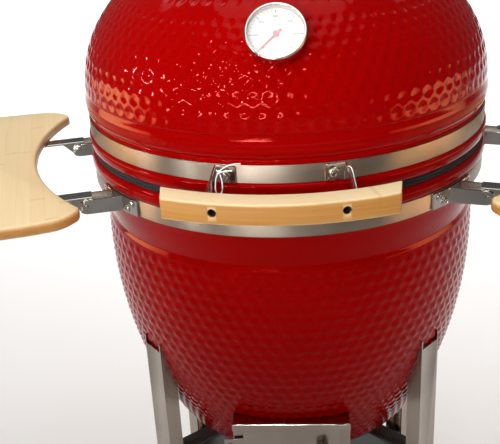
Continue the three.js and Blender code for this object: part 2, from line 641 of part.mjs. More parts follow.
function shelves() {
  for (const [place, azimuth, frontSide] of [['left', -shelfAzimuth, 1], ['right', shelfAzimuth, -1]]) {
    for (const [end, side] of [['front', frontSide], ['back', -frontSide]]) {
      shelfBracket(`shelf_bracket_${place}_${end}`, azimuth, side);
      shelfStrap(`shelf_strap_${place}_${end}`, azimuth, side);
    }
    shelfBoard(`shelf_board_${place}`, azimuth);
  }
}

// ---- stand: four folded posts, a cradle under the bowl, a tray and four casters
const casterHeight = 92;
const postTopDepth = 275;       // rim to the top of a post's flanges
const webTopDepth = 290;        // rim to the top of its web
const postOuter = bowlRadiusAt(bowlRimZ - webTopDepth) + 5;
const stemCircle = postOuter - postDepth / 2;
const posts = [['front_left', -postAzimuth], ['front_right', postAzimuth],
  ['back_left', postAzimuth - 180], ['back_right', 180 - postAzimuth]];

function stand() {
  const half = postWidth / 2;
  const channel = (azimuth) => join(...[
    box(-half, half, -postOuter, -postOuter + sheet, casterHeight, bowlRimZ - webTopDepth),
    box(-half, sheet - half, -postOuter, postDepth - postOuter, casterHeight,
      bowlRimZ - postTopDepth),
    box(half - sheet, half, -postOuter, postDepth - postOuter, casterHeight,
      bowlRimZ - postTopDepth),
    box(-half, half, -postOuter, postDepth - postOuter, casterHeight, casterHeight + 4),
  ].map((piece) => turned(piece, azimuth)));
  const bowlSpace = solid(revolve([[0, bowlBottomZ - 1], [footRadius, bowlBottomZ - 1],
    ...bowlOutside(gap).reverse()
      .filter(([, z]) => z < bowlRimZ - 100), [0, bowlRimZ - 100]]));
  for (const [place, azimuth] of posts) {
    add(`stand_post_${place}`, cut(channel(azimuth), bowlSpace), steel);
    const pad = box(sheet + gap - half, half - sheet - gap, sheet + gap - postOuter,
      postDepth + 8 - postOuter, bowlRimZ - webTopDepth - 45, bowlRimZ - webTopDepth - 2);
    add(`post_pad_${place}`, cut(turned(pad, azimuth), bowlSpace), rubber);
  }

  const high = bowlBottomZ - gap;
  const armEnd = postOuter - sheet - gap;
  const cradleOuter = footRadius - 34;
  const arms = posts.map(([, azimuth]) => turned(
    box(-15, 15, -armEnd, 13 - cradleOuter, high - 9, high - 5), azimuth));
  add('bowl_cradle', join(ring(cradleOuter - 41, cradleOuter, high - 9, high, 24), ...arms),
    blackSteel);

  const trayRadius = postOuter - postDepth - 1.5;
  const trayZ = casterHeight + 40;
  add('stand_tray', revolve([[0, trayZ], [trayRadius, trayZ], [trayRadius, trayZ + 20],
    [trayRadius - sheet, trayZ + 20], [trayRadius - sheet, trayZ + sheet], [0, trayZ + sheet]],
  32), blackSteel);
}

function casters() {
  const trail = 22;
  const cheekX = wheelWidth / 2 + 2;
  const crownZ = casterHeight - 5;
  for (const [place, azimuth] of posts) {
    const [x, y] = onCircle(stemCircle, azimuth);
    const cheek = [[-17, crownZ], [17, crownZ], [trail + 9, wheelRadius + 3],
      [trail + 5, wheelRadius - 8], [trail - 5, wheelRadius - 8], [trail - 9, wheelRadius + 3]];
    const cheeks = [-1, 1].map((side) => sidePlate(cheek,
      Math.min(side * cheekX, side * (cheekX + 2.5)), Math.max(side * cheekX, side * (cheekX + 2.5))));
    const axle = rod([-cheekX - 5, trail, wheelRadius], [cheekX + 5, trail, wheelRadius], 4, 8);
    const crown = disc(22, crownZ - 4, crownZ, 16);
    const stem = disc(12, crownZ - 2, casterHeight - gap, 10);
    add(`caster_fork_${place}`, join(crown, stem, ...cheeks, axle), chrome);
    kamado.children.at(-1).position.set(x, y, 0);
    const face = wheelWidth / 2;
    const facets = 16;
    const tread = wheelRadius / Math.cos(Math.PI / facets);       // the wheel rests on a flat facet
    const wheel = revolve([[4.6, -face], [tread - 4, -face], [tread, 4 - face],
      [tread, face - 4], [tread - 4, face], [4.6, face]], facets).rotateZ(Math.PI / facets);
    add(`caster_wheel_${place}`, wheel.rotateY(Math.PI / 2).translate(0, trail, wheelRadius), rubber);
    kamado.children.at(-1).position.set(x, y, 0);
  }
}

bowl();
lid();
seams();
fireParts();
grates();
draftDoor();
hinge();
handle();
handleStraps();
ties();
thermometer();
topVent();
shelves();
stand();
casters();

export default kamado;
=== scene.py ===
import math
from contextlib import contextmanager

import bmesh
import bpy
from mathutils import Matrix, Vector


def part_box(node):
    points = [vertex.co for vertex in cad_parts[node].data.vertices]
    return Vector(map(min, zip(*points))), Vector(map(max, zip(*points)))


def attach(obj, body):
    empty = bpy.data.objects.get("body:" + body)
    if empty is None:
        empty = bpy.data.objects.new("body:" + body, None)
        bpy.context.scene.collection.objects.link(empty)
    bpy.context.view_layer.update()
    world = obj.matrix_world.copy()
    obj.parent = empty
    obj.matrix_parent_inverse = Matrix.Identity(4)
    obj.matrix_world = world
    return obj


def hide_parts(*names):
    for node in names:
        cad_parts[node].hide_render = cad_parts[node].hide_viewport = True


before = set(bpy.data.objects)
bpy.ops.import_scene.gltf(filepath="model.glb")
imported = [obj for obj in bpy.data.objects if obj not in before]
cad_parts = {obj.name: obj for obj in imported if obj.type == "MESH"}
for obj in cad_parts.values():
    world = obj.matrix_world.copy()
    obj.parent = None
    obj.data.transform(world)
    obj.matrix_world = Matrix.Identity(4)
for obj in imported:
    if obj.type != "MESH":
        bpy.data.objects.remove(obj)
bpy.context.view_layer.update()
scene = bpy.context.scene
scene.view_settings.view_transform = "Standard"
print("frame loaded:", len(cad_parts), "nodes")


def low(node, axis=2):
    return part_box(node)[0][axis]


def high(node, axis=2):
    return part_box(node)[1][axis]


# heights and radii that the pieces share, in metres, read off the frame
body = {
    "rim": 0.300,                        # radius of both ceramic rims
    "rimInner": 0.270,
    "bowlRim": low("base_gasket") - 0.00015,
    "lidRim": high("lid_gasket") + 0.00015,
    "seat": low("lid_band", 0) * -1 - 0.0023,      # the ceramic under the bands
    "bandOuter": high("lid_band", 0),
    "bowlFoot": low("base_shell"),
    "neckTop": high("lid_shell"),
    "neck": 0.077,
    "chimney": 0.062,
    "handleTurn": 13.2,                  # azimuth of the handle's straps
    "shelfTurn": 74.5,                   # azimuth of the shelves
}


def spun(point, degrees):
    return Matrix.Rotation(math.radians(degrees), 3, "Z") @ Vector(point)


# ---- camera
view = {"lens": 64.8, "reach": 1.3465, "height": 1.3353, "azimuth": 1.8,
        "yaw": 2.76, "pitch": 24.918, "roll": -3.151}


def placeCamera():
    data = bpy.data.cameras.new("camera")
    data.lens, data.sensor_width = view["lens"], 36
    camera = bpy.data.objects.new("camera", data)
    scene.collection.objects.link(camera)
    azimuth = math.radians(view["azimuth"])
    turn = azimuth + math.radians(view["yaw"])
    pitch, roll = math.radians(view["pitch"]), math.radians(view["roll"])
    ahead = Vector((-math.sin(turn) * math.cos(pitch), math.cos(turn) * math.cos(pitch), -math.sin(pitch)))
    level = Vector((math.cos(turn), math.sin(turn), 0))
    above = level.cross(ahead)
    across = level * math.cos(roll) + above * math.sin(roll)
    upward = above * math.cos(roll) - level * math.sin(roll)
    spot = Vector((view["reach"] * math.sin(azimuth), -view["reach"] * math.cos(azimuth), view["height"]))
    turned = Matrix((across, upward, -ahead)).transposed().to_4x4()
    camera.matrix_world = Matrix.Translation(spot) @ turned
    scene.camera = camera


placeCamera()
print("camera placed")


# ---- node trees: one class for a tree, one for a socket with arithmetic on it
class Wire:
    def __init__(self, net, socket):
        self.net, self.socket = net, socket

    def sums(self, operation, *values):
        return self.net.node("Math", dict(enumerate(values)), operation=operation)

    def atLeast(self, value):
        return self.sums("MAXIMUM", self, value)


def giveArithmetic():
    pairs = {"add": "ADD", "sub": "SUBTRACT", "mul": "MULTIPLY", "truediv": "DIVIDE",
             "pow": "POWER", "mod": "MODULO"}
    for word, operation in pairs.items():
        setattr(Wire, f"__{word}__", lambda self, other, kind=operation: self.sums(kind, self, other))
        setattr(Wire, f"__r{word}__", lambda self, other, kind=operation: self.sums(kind, other, self))
    singles = {"floor": "FLOOR", "fraction": "FRACT", "sine": "SINE", "cosine": "COSINE"}
    for word, operation in singles.items():
        setattr(Wire, word, lambda self, kind=operation: self.sums(kind, self))


giveArithmetic()


class Net:
    def __init__(self, tree):
        self.tree = tree

    def feed(self, socket, value):
        if isinstance(value, Wire):
            self.tree.links.new(value.socket, socket)
        elif socket.type == "RGBA" and len(value) == 3:
            socket.default_value = (*value, 1)
        else:
            socket.default_value = value

    def shape(self, kind, sockets=None, out=0, **settings):
        return self.node("GeometryNode" + kind, sockets, out, **settings)

    def node(self, kind, sockets=None, out=0, **settings):
        made = self.tree.nodes.new(kind if "Node" in kind else "ShaderNode" + kind)
        for key, value in settings.items():
            setattr(made, key, value)
        for key, value in (sockets or {}).items():
            self.feed(made.inputs[key], value)
        return Wire(self, made.outputs[out])


class Finish(Net):                       # one material, named for its slot in the record
    def __init__(self, slot, sockets, name=None):
        self.slot = slot
        self.material = bpy.data.materials.new(name or slot)
        self.material.use_nodes = True
        super().__init__(self.material.node_tree)
        self.shader = self.tree.nodes["Principled BSDF"]
        self.set(sockets)

    def set(self, sockets):
        for key, value in sockets.items():
            self.feed(self.shader.inputs[key], value)

    def place(self, stretch):
        here = self.node("TexCoord", out="Object")
        return self.node("Mapping", {"Vector": here, "Scale": stretch})

    def noise(self, scale, stretch=(1, 1, 1), detail=3, where=None):
        return self.node("TexNoise", {
            "Vector": where or self.place(stretch), "Scale": scale, "Detail": detail})

    def offCentre(self, place):              # how far a repeating place is from its middle
        middle = place.fraction() - 0.5
        return middle.sums("ABSOLUTE", middle)

    def attribute(self, name, out="Fac"):
        return self.node("Attribute", out=out, attribute_name=name)

    def mix(self, share, first, second):
        return self.node("Mix", {0: share, 6: first, 7: second}, 2, data_type="RGBA")

    def spread(self, value, start, end, first=0.0, last=1.0):
        return self.node("MapRange", {
            "Value": value, "From Min": start, "From Max": end, "To Min": first, "To Max": last})

    def bump(self, height, distance, strength=1.0):
        self.set({"Normal": self.node("Bump", {
            "Height": height, "Distance": distance, "Strength": strength})})


# ---- finishes
def glazeFinish():
    colours = {"deep": (0.22, 0.0002, 0.0002), "bright": (0.29, 0.0004, 0.0003),
               "clay": (0.62, 0.50, 0.37), "clayDark": (0.50, 0.38, 0.27)}
    made = Finish("red_glaze", {"IOR": 1.28, "Specular Tint": (1, 0.17, 0.14)})
    fired = made.attribute("glazed")
    red = made.mix(made.noise(5, detail=2), colours["deep"], colours["bright"])
    clay = made.mix(made.noise(70, detail=6), colours["clayDark"], colours["clay"])
    made.set({"Base Color": made.mix(fired, clay, red),
              "Roughness": 0.86 - fired * (0.82 - 0.05 * made.noise(9))})
    made.bump(made.noise(60, detail=2) * fired + made.noise(420, detail=4) * (1 - fired), 0.0004, 0.22)
    return made


def feltFinish():
    made = Finish("felt", {"Roughness": 0.95, "Sheen Weight": 0.04, "Sheen Roughness": 0.6})
    fibre = made.noise(900, detail=5)
    made.set({"Base Color": made.mix(fibre, (0.003, 0.003, 0.003), (0.016, 0.015, 0.016))})
    made.bump(fibre + 0.5 * made.noise(260), 0.0008, 0.7)
    return made


def steelFinish(slot, shade, worn, rough, stretch, anisotropic=0.0, name=None):
    made = Finish(slot, {"Metallic": 1.0, "Anisotropic": anisotropic, "Anisotropic Rotation": 0.25}, name)
    lines = made.noise(6, stretch, detail=5)
    smudge = made.noise(11, detail=4)
    made.set({"Base Color": made.mix(made.spread(smudge, 0.35, 0.7), worn, shade),
              "Roughness": rough + 0.16 * (lines - 0.5) + 0.1 * (smudge - 0.5)})
    made.bump(lines, 0.00012, 0.35)
    return made


def bambooFinish():
    # the edge colours are painted shade: the sides of the handle and shelves are painted darker and more
    # orange than their tops
    colours = {"pale": (0.90, 0.74, 0.45), "straw": (0.80, 0.57, 0.28), "dark": (0.52, 0.28, 0.09),
               "edge": (0.44, 0.175, 0.018), "edgePale": (0.58, 0.28, 0.055)}
    strip = {"width": 0.019, "fibre": 1900, "knuckle": 0.31}
    made = Finish("bamboo", {"Coat Weight": 0.12, "Coat Roughness": 0.2})
    grain = made.attribute("grain", "Vector")
    parts = made.node("SeparateXYZ", {0: grain})
    along, across, upward = (Wire(made, parts.socket.node.outputs[i]) for i in range(3))
    lamella = (across / strip["width"]).floor()
    tint = made.node("TexWhiteNoise", {"W": lamella + 7.3}, noise_dimensions="1D")
    fibreSpace = made.node("CombineXYZ", {
        0: along * 9, 1: across * strip["fibre"] * 0.35, 2: upward * strip["fibre"] * 0.22})
    fibre = made.noise(1, where=fibreSpace, detail=4)
    streakSpace = made.node("CombineXYZ", {0: along * 4, 1: across * 90, 2: upward * 60})
    streak = made.noise(1, where=streakSpace, detail=3)
    seam = made.offCentre(across / strip["width"])
    knuckle = made.offCentre(along / strip["knuckle"] + tint)
    face = made.mix(tint * 0.45 + fibre * 0.5, colours["pale"], colours["straw"])
    face = made.mix(made.spread(streak, 0.52, 0.78, 0, 0.5), face, colours["straw"])
    face = made.mix(made.spread(seam, 0.485, 0.5, 0, 0.35), face, colours["dark"])
    face = made.mix(made.spread(knuckle, 0.012, 0.002, 0, 0.3), face, colours["dark"])
    # painted shade: the edge mask mixes the darker side colours into faces that don't look up; the fibre and
    # streak grain on them is the wood's own
    edge = made.mix(made.spread(fibre, 0.38, 0.95), colours["edge"], colours["edgePale"])
    edge = made.mix(made.spread(streak, 0.45, 0.8, 0, 0.55), edge, colours["dark"])
    made.set({"Base Color": made.mix(made.attribute("edge"), face, edge), "Roughness": 0.36 + 0.2 * fibre})
    made.bump(fibre, 0.0002, 0.25)
    return made


def grainyFinish(slot, dark, pale, rough, scale, bump, sockets=None):
    made = Finish(slot, sockets or {})
    grit = made.noise(scale, detail=6)
    drift = made.noise(scale / 25, detail=3)
    made.set({"Base Color": made.mix(0.6 * grit + 0.4 * drift, dark, pale),
              "Roughness": rough + 0.2 * (drift - 0.5)})
    made.bump(grit, bump, 0.6)
    return made


def cottonFinish():
    made = Finish("cotton", {"Roughness": 0.9, "Sheen Weight": 0.3})
    strand = made.noise(1500, detail=3)
    made.set({"Base Color": made.mix(strand, (0.74, 0.70, 0.66), (0.95, 0.93, 0.90))})
    made.bump(strand, 0.0003, 0.8)
    return made


def glassFinish():
    made = Finish("dial_glass", {"Base Color": (1, 1, 1), "Metallic": 0.0, "IOR": 1.45, "Alpha": 0.16})
    made.set({"Roughness": 0.03 + 0.03 * made.noise(30)})
    return made


glaze = glazeFinish()
felt = feltFinish()
# band steel: grey steel with a painted warm reflection, so both of its colours are tinted brown
bandSteel = steelFinish("band_steel", (0.50, 0.415, 0.335), (0.38, 0.31, 0.245), 0.42, (1, 1, 260), 0.92)
standSteel = steelFinish("stand_steel", (0.52, 0.47, 0.42), (0.42, 0.37, 0.33), 0.20, (90, 90, 1))
brightSteel = steelFinish("bright_steel", (0.66, 0.62, 0.57), (0.48, 0.44, 0.39), 0.17, (25, 25, 25))
bamboo = bambooFinish()
fireclay = grainyFinish("fireclay", (0.42, 0.33, 0.24), (0.68, 0.57, 0.45), 0.88, 320, 0.0006)
castIron = grainyFinish("cast_iron", (0.018, 0.018, 0.019), (0.055, 0.055, 0.057), 0.62, 420, 0.0005,
                        {"Metallic": 0.35})
blackSteel = grainyFinish("black_steel", (0.012, 0.012, 0.013), (0.030, 0.030, 0.032), 0.42, 800, 0.0002)
springSteel = steelFinish("spring_steel", (0.26, 0.26, 0.27), (0.14, 0.14, 0.15), 0.32, (30, 30, 30))
rubber = grainyFinish("caster_rubber", (0.012, 0.012, 0.012), (0.035, 0.034, 0.034), 0.8, 300, 0.0003)
dialWhite = grainyFinish("dial_white", (0.80, 0.79, 0.76), (0.90, 0.89, 0.86), 0.45, 200, 0.00005)
dialInk = grainyFinish("dial_white", (0.010, 0.010, 0.011), (0.030, 0.030, 0.030), 0.5, 300, 0.00005)
pointerRed = grainyFinish("pointer_red", (0.50, 0.012, 0.008), (0.66, 0.020, 0.014), 0.35, 200, 0.00005)
glass = glassFinish()
cotton = cottonFinish()
print("finishes mixed:", len(bpy.data.materials))


# ---- making pieces
def newObject(name, mesh):
    made = bpy.data.objects.new(name, mesh)
    scene.collection.objects.link(made)
    return made


@contextmanager
def edited(mesh):
    work = bmesh.new()
    work.from_mesh(mesh)
    yield work
    work.to_mesh(mesh)
    work.free()


def sewn(work, name):                    # the worked mesh as an object
    mesh = bpy.data.meshes.new(name)
    work.to_mesh(mesh)
    work.free()
    return newObject(name, mesh)


def applied(made):                       # works the modifiers into a plain mesh
    graph = bpy.context.evaluated_depsgraph_get()
    mesh = bpy.data.meshes.new_from_object(made.evaluated_get(graph))
    made.modifiers.clear()
    made.data = mesh
    return made


def settled(made, finish, rides, *stoodFor, crisp=38):
    mesh = made.data
    with edited(mesh) as work:
        if work.calc_volume(signed=True) < 0:
            bmesh.ops.reverse_faces(work, faces=work.faces)
    mesh.shade_smooth()
    mesh.set_sharp_from_angle(angle=math.radians(crisp))
    mesh.materials.clear()
    mesh.materials.append(finish.material)
    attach(made, rides)
    if stoodFor:
        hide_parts(*stoodFor)
    return made


def bevelled(made, width, segments=2, angle=35):
    bevel = made.modifiers.new("bevel", "BEVEL")
    bevel.width, bevel.segments, bevel.limit_method = width, segments, "ANGLE"
    bevel.angle_limit = math.radians(angle)
    bevel.harden_normals = False
    return applied(made)


def refined(node, name, finish, rides, width=0.0005, segments=1):     # a CAD node with eased edges
    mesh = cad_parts[node].data.copy()
    with edited(mesh) as work:
        bmesh.ops.remove_doubles(work, verts=work.verts, dist=1e-5)
        bmesh.ops.dissolve_limit(work, angle_limit=math.radians(1.5), verts=work.verts, edges=work.edges)
    return settled(bevelled(newObject(name, mesh), width, segments), finish, rides, node, crisp=30)


def eased(work, edges, width, segments):
    bmesh.ops.bevel(work, geom=edges, offset=width, segments=segments, profile=0.5, affect="EDGES",
                    clamp_overlap=True)


def cutBy(made, *tools):
    for tool in tools:
        cut = made.modifiers.new("cut", "BOOLEAN")
        cut.object, cut.operation, cut.solver = tool, "DIFFERENCE", "EXACT"
    applied(made)
    for tool in tools:
        bpy.data.objects.remove(tool)
    return made


def boxTool(lowest, highest):
    work = bmesh.new()
    size = Vector(highest) - Vector(lowest)
    middle = (Vector(highest) + Vector(lowest)) / 2
    bmesh.ops.create_cube(work, size=1, matrix=Matrix.Translation(middle) @ Matrix.Diagonal((*size, 1)))
    return sewn(work, "tool")


def aimed(start, end):                   # turns +Z from start towards end
    along = Vector(end) - Vector(start)
    return Matrix.Translation(Vector(start)) @ along.to_track_quat("Z", "Y").to_matrix().to_4x4()


def rodMesh(work, start, end, radius, sides=24):
    length = (Vector(end) - Vector(start)).length
    bmesh.ops.create_cone(
        work, cap_ends=True, segments=sides, radius1=radius, radius2=radius,
        depth=length, matrix=aimed(start, end) @ Matrix.Translation((0, 0, length / 2)))


def rodTool(start, end, radius, sides=24):
    return rods("tool", (start, end, radius, sides))


def rods(name, *given):
    work = bmesh.new()
    for rod in given:
        rodMesh(work, *rod)
    return sewn(work, name)


def filleted(corners, steps=4, closed=False):        # (radius, height, fillet) corners as points
    points = [Vector(c[:2]) for c in corners]
    count = len(corners)
    path = []
    for i, corner in enumerate(corners):
        fillet = corner[2] if len(corner) > 2 else 0
        if fillet <= 0 or (not closed and i in (0, count - 1)):
            path.append(tuple(points[i]))
            continue
        before, after = points[i - 1] - points[i], points[(i + 1) % count] - points[i]
        reach = min(fillet, before.length * 0.48, after.length * 0.48)
        start, end = points[i] + before.normalized() * reach, points[i] + after.normalized() * reach
        for k in range(steps + 1):
            t = k / steps
            path.append(tuple(start * (1 - t) ** 2 + points[i] * 2 * t * (1 - t) + end * t * t))
    if closed:
        path.append(path[0])
    return path


def circle(x, y, radius, steps=32):
    return [(x + radius * math.cos(math.tau * i / steps), y + radius * math.sin(math.tau * i / steps))
            for i in range(steps)]


def ringOutline(inner, outer, bottom, top, fillet=0.0006):
    corners = [(inner, bottom, fillet), (outer, bottom, fillet), (outer, top, fillet), (inner, top, fillet)]
    return filleted(corners, 3, closed=True)


# ---- geometry node trees
def newTree(name, inputs):
    tree = bpy.data.node_groups.new(name, "GeometryNodeTree")
    tree.interface.new_socket("Geometry", in_out="INPUT", socket_type="NodeSocketGeometry")
    for label, kind in inputs.items():
        tree.interface.new_socket(label, in_out="INPUT", socket_type="NodeSocket" + kind)
    tree.interface.new_socket("Material", in_out="INPUT", socket_type="NodeSocketMaterial")
    tree.interface.new_socket("Geometry", in_out="OUTPUT", socket_type="NodeSocketGeometry")
    net = Net(tree)
    entry = tree.nodes.new("NodeGroupInput")
    net.given = {socket.name: Wire(net, socket) for socket in entry.outputs if socket.name}
    return net


def closeTree(net, shape):
    whole = net.shape("RealizeInstances", {"Geometry": shape})
    painted = net.shape("SetMaterial", {"Geometry": whole, "Material": net.given["Material"]})
    leave = net.tree.nodes.new("NodeGroupOutput")
    net.feed(leave.inputs[0], painted)
    return net.tree


def grown(made, tree, **values):         # runs a tree over an object and keeps the plain mesh
    modifier = made.modifiers.new(tree.name, "NODES")
    modifier.node_group = tree
    for item in tree.interface.items_tree:
        if item.in_out == "INPUT" and item.name.replace(" ", "") in values:
            modifier[item.identifier] = values[item.name.replace(" ", "")]
    return applied(made)


def turningTree():                       # turns an outline about Z, and presses the dimples into it
    net = newTree("turning", {"Around": "Int", "Dimple Depth": "Float", "Dimple Share": "Float"})
    outline = net.given["Geometry"]
    around = net.given["Around"] * 1.0
    count = net.shape("AttributeDomainSize", {"Geometry": outline}, component="MESH")
    grid = net.shape("MeshGrid", {
        "Size X": 1.0, "Size Y": 1.0, "Vertices X": net.given["Around"] + 1, "Vertices Y": count})
    index = net.shape("InputIndex") * 1.0
    column = ((index + 0.5) / count).floor()
    line = index - column * count

    def sampled(value, kind="FLOAT"):
        return net.shape("SampleIndex", {"Geometry": outline, "Value": value, "Index": line}, data_type=kind)

    def named(name, kind="FLOAT"):
        return sampled(net.shape("InputNamedAttribute", {"Name": name}, data_type=kind), kind)

    def pulled(vector):
        parts = net.node("SeparateXYZ", {0: vector})
        return parts, Wire(net, parts.socket.node.outputs[2])

    radius, height = pulled(sampled(net.shape("InputPosition"), "FLOAT_VECTOR"))
    leanOut, leanUp = pulled(named("lean", "FLOAT_VECTOR"))
    row, rowGap, perTurn, pressed = named("row"), named("rowGap"), named("perTurn"), named("pressed")
    turn = column / around
    pitch = math.tau * radius / perTurn.atLeast(1)
    aside = (turn * perTurn + 0.5 * (row.floor() % 2)).fraction() - 0.5
    along = row.fraction() - 0.5
    reach = (net.given["Dimple Share"] * pitch).atLeast(0.0001)
    near = ((aside * pitch) ** 2 + (along * rowGap) ** 2) / (reach * reach)
    sunk = net.given["Dimple Depth"] * pressed * (1 - near).atLeast(0) ** 1.3
    angle = turn * math.tau
    spokes = radius - sunk * leanOut
    placed = net.node("CombineXYZ", {
        0: spokes * angle.sine(), 1: 0 - spokes * angle.cosine(), 2: height - sunk * leanUp})
    shape = net.shape("SetPosition", {"Geometry": grid, "Position": placed})
    shape = net.shape("StoreNamedAttribute", {
        "Geometry": shape, "Name": "glazed", "Value": named("glazed")}, data_type="FLOAT", domain="POINT")
    return closeTree(net, net.shape("MergeByDistance", {"Geometry": shape, "Distance": 1e-5}))


def wireTree():                          # round wire along the edges of a mesh
    net = newTree("wire", {"Wire Radius": "Float", "Sides": "Int"})
    run = net.shape("MeshToCurve", {"Mesh": net.given["Geometry"]})
    section = net.shape("CurvePrimitiveCircle", {
        "Resolution": net.given["Sides"], "Radius": net.given["Wire Radius"]})
    return closeTree(net, net.shape("CurveToMesh", {
        "Curve": run, "Profile Curve": section, "Fill Caps": True}))


def fastenerTree():                      # one fastener at each point, facing the way the point says
    net = newTree("fasteners", {"Fastener": "Object"})
    pattern = net.shape("ObjectInfo", {"Object": net.given["Fastener"]}, "Geometry",
                        transform_space="ORIGINAL")
    facing = net.shape("InputNamedAttribute", {"Name": "facing"}, data_type="FLOAT_VECTOR")
    turned = net.node("FunctionNodeAlignRotationToVector", {"Vector": facing}, axis="Z")
    size = net.shape("InputNamedAttribute", {"Name": "size"}, data_type="FLOAT")
    return closeTree(net, net.shape("InstanceOnPoints", {
        "Points": net.given["Geometry"], "Instance": pattern, "Rotation": turned, "Scale": size}))


turning, wire, fasteners = turningTree(), wireTree(), fastenerTree()
print("node trees built")


def stored(mesh, name, values):          # keeps one number or one vector with each point of a mesh
    if isinstance(values[0], (int, float)):
        mesh.attributes.new(name, "FLOAT", "POINT").data.foreach_set("value", values)
    else:
        flat = [part for value in values for part in value]
        mesh.attributes.new(name, "FLOAT_VECTOR", "POINT").data.foreach_set("vector", flat)


def outlineObject(name, points, fields=None):
    mesh = bpy.data.meshes.new(name)
    mesh.from_pydata([(r, 0, z) for r, z in points], [(i, i + 1) for i in range(len(points) - 1)], [])
    lean = []
    for i in range(len(points)):
        before, after = points[max(i - 1, 0)], points[min(i + 1, len(points) - 1)]
        along = Vector((after[0] - before[0], after[1] - before[1]))
        along = along.normalized() if along.length > 0 else Vector((0, 1))
        lean.append((along.y, 0, -along.x))
    stored(mesh, "lean", lean)
    for key, values in (fields or {}).items():
        stored(mesh, key, values)
    return newObject(name, mesh)


def turned(name, points, around=96, fields=None, depth=0.0, share=0.3):
    return grown(outlineObject(name, points, fields), turning, Around=around,
                 DimpleDepth=depth, DimpleShare=share, Material=glaze.material)


def shifted(made, matrix):
    made.data.transform(matrix)
    return made


def wired(name, runs, radius, finish, rides, *stoodFor, sides=10):      # runs: (points, closed)
    spots, edges = [], []
    for points, closed in runs:
        first = len(spots)
        spots += [tuple(p) for p in points]
        edges += [(first + i, first + i + 1) for i in range(len(points) - 1)]
        if closed:
            edges.append((len(spots) - 1, first))
    mesh = bpy.data.meshes.new(name)
    mesh.from_pydata(spots, edges, [])
    made = grown(newObject(name, mesh), wire, WireRadius=radius, Sides=sides, Material=finish.material)
    return settled(made, finish, rides, *stoodFor, crisp=75)


def fixed(name, pattern, spots, finish, rides):      # spots: (place, facing, size)
    mesh = bpy.data.meshes.new(name)
    mesh.from_pydata([tuple(s[0]) for s in spots], [], [])
    stored(mesh, "facing", [tuple(s[1]) for s in spots])
    stored(mesh, "size", [s[2] for s in spots])
    made = grown(newObject(name, mesh), fasteners, Fastener=pattern, Material=finish.material)
    return settled(made, finish, rides)


def joined(name, *parts):                # several loose meshes as one piece
    work = bmesh.new()
    for part in parts:
        work.from_mesh(part.data)
        bpy.data.objects.remove(part)
    return sewn(work, name)


# ---- cotton ties left on the handle's straps: [across, outward, height over the lid's rim]
tie = {
    "thick": 0.0016,
    "left": [
        [-0.009, 0.312, 0.0415], [-0.0055, 0.3128, 0.0386], [-0.0026, 0.314, 0.0335],
        [-0.0008, 0.3155, 0.026], [-0.0006, 0.317, 0.0185], [-0.0024, 0.3188, 0.0126],
        [-0.0056, 0.320, 0.0114], [-0.0082, 0.3198, 0.0154], [-0.0088, 0.3188, 0.024],
        [-0.0076, 0.3176, 0.033], [-0.0038, 0.3162, 0.0405], [0.002, 0.3146, 0.046],
        [0.009, 0.3136, 0.0495], [0.016, 0.3132, 0.0515], [0.024, 0.3136, 0.0525]],
    "right": [
        [0.0126, 0.312, 0.0414], [0.0154, 0.3128, 0.0416], [0.0178, 0.3142, 0.039],
        [0.019, 0.316, 0.034], [0.0198, 0.3182, 0.028], [0.0206, 0.3214, 0.021],
        [0.0214, 0.3256, 0.0145], [0.0222, 0.3306, 0.0088], [0.023, 0.336, 0.004]],
    "leftLength": 0.0993,
    "rightLength": 0.0492,
    "knotAt": [-0.0046, 0.3146, 0.0398],
}


def tiePoint(side, point):
    return spun((point[0], -point[1], body["lidRim"] + point[2]), side * body["handleTurn"])


def tieKnot():                           # two turns of string drawn tight round the crossing
    size = {"radius": 0.0021, "rise": 0.0016, "points": 26}
    across, out, height = tie["knotAt"]
    run = []
    for i in range(size["points"]):
        turn = 4 * math.pi * i / size["points"]
        around = size["radius"] * (1 + 0.22 * math.cos(turn * 1.5))
        run.append(tiePoint(-1, [across + around * math.cos(turn), out + around * math.sin(turn) * 0.8,
                                 height + size["rise"] * math.sin(turn * 0.5)]))
    tail = [tiePoint(-1, [across + 0.022 * t, out + 0.0015 - 0.0008 * t,
                          height + 0.0075 * t - 0.004 * t * t]) for t in (0, 0.2, 0.4, 0.6, 0.8)]
    return wired("tieKnot", [(run, True), (tail, False)], tie["thick"] * 0.5, cotton, "lid", sides=8)


def tieString(name, side, route, node, pieces):
    data = bpy.data.curves.new(name, "CURVE")
    data.dimensions, data.resolution_u, data.use_fill_caps = "3D", 8, True
    data.bevel_depth, data.bevel_resolution = tie["thick"] / 2, 3
    line = data.splines.new("BEZIER")
    line.bezier_points.add(len(route) - 1)
    for spot, point in zip(line.bezier_points, route):
        spot.co = tiePoint(side, point)
        spot.handle_left_type = spot.handle_right_type = "AUTO"
    data.materials.append(cotton.material)
    made = newObject(name, data)
    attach(made, "lid")
    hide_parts(node)
    return made


tieString("tieStringLeft", -1, tie["left"], "tie_string_left", [tieKnot()])
tieString("tieStringRight", 1, tie["right"], "tie_string_right", [])
print("cotton ties tied")


# ---- dimpled ceramic shells
dimples = {"lidAround": 552, "bowlAround": 460, "perRow": 5, "rowShare": 0.86, "lidDepth": 0.0015,
           "bowlDepth": 0.0018, "share": 0.39, "between": 0.004}


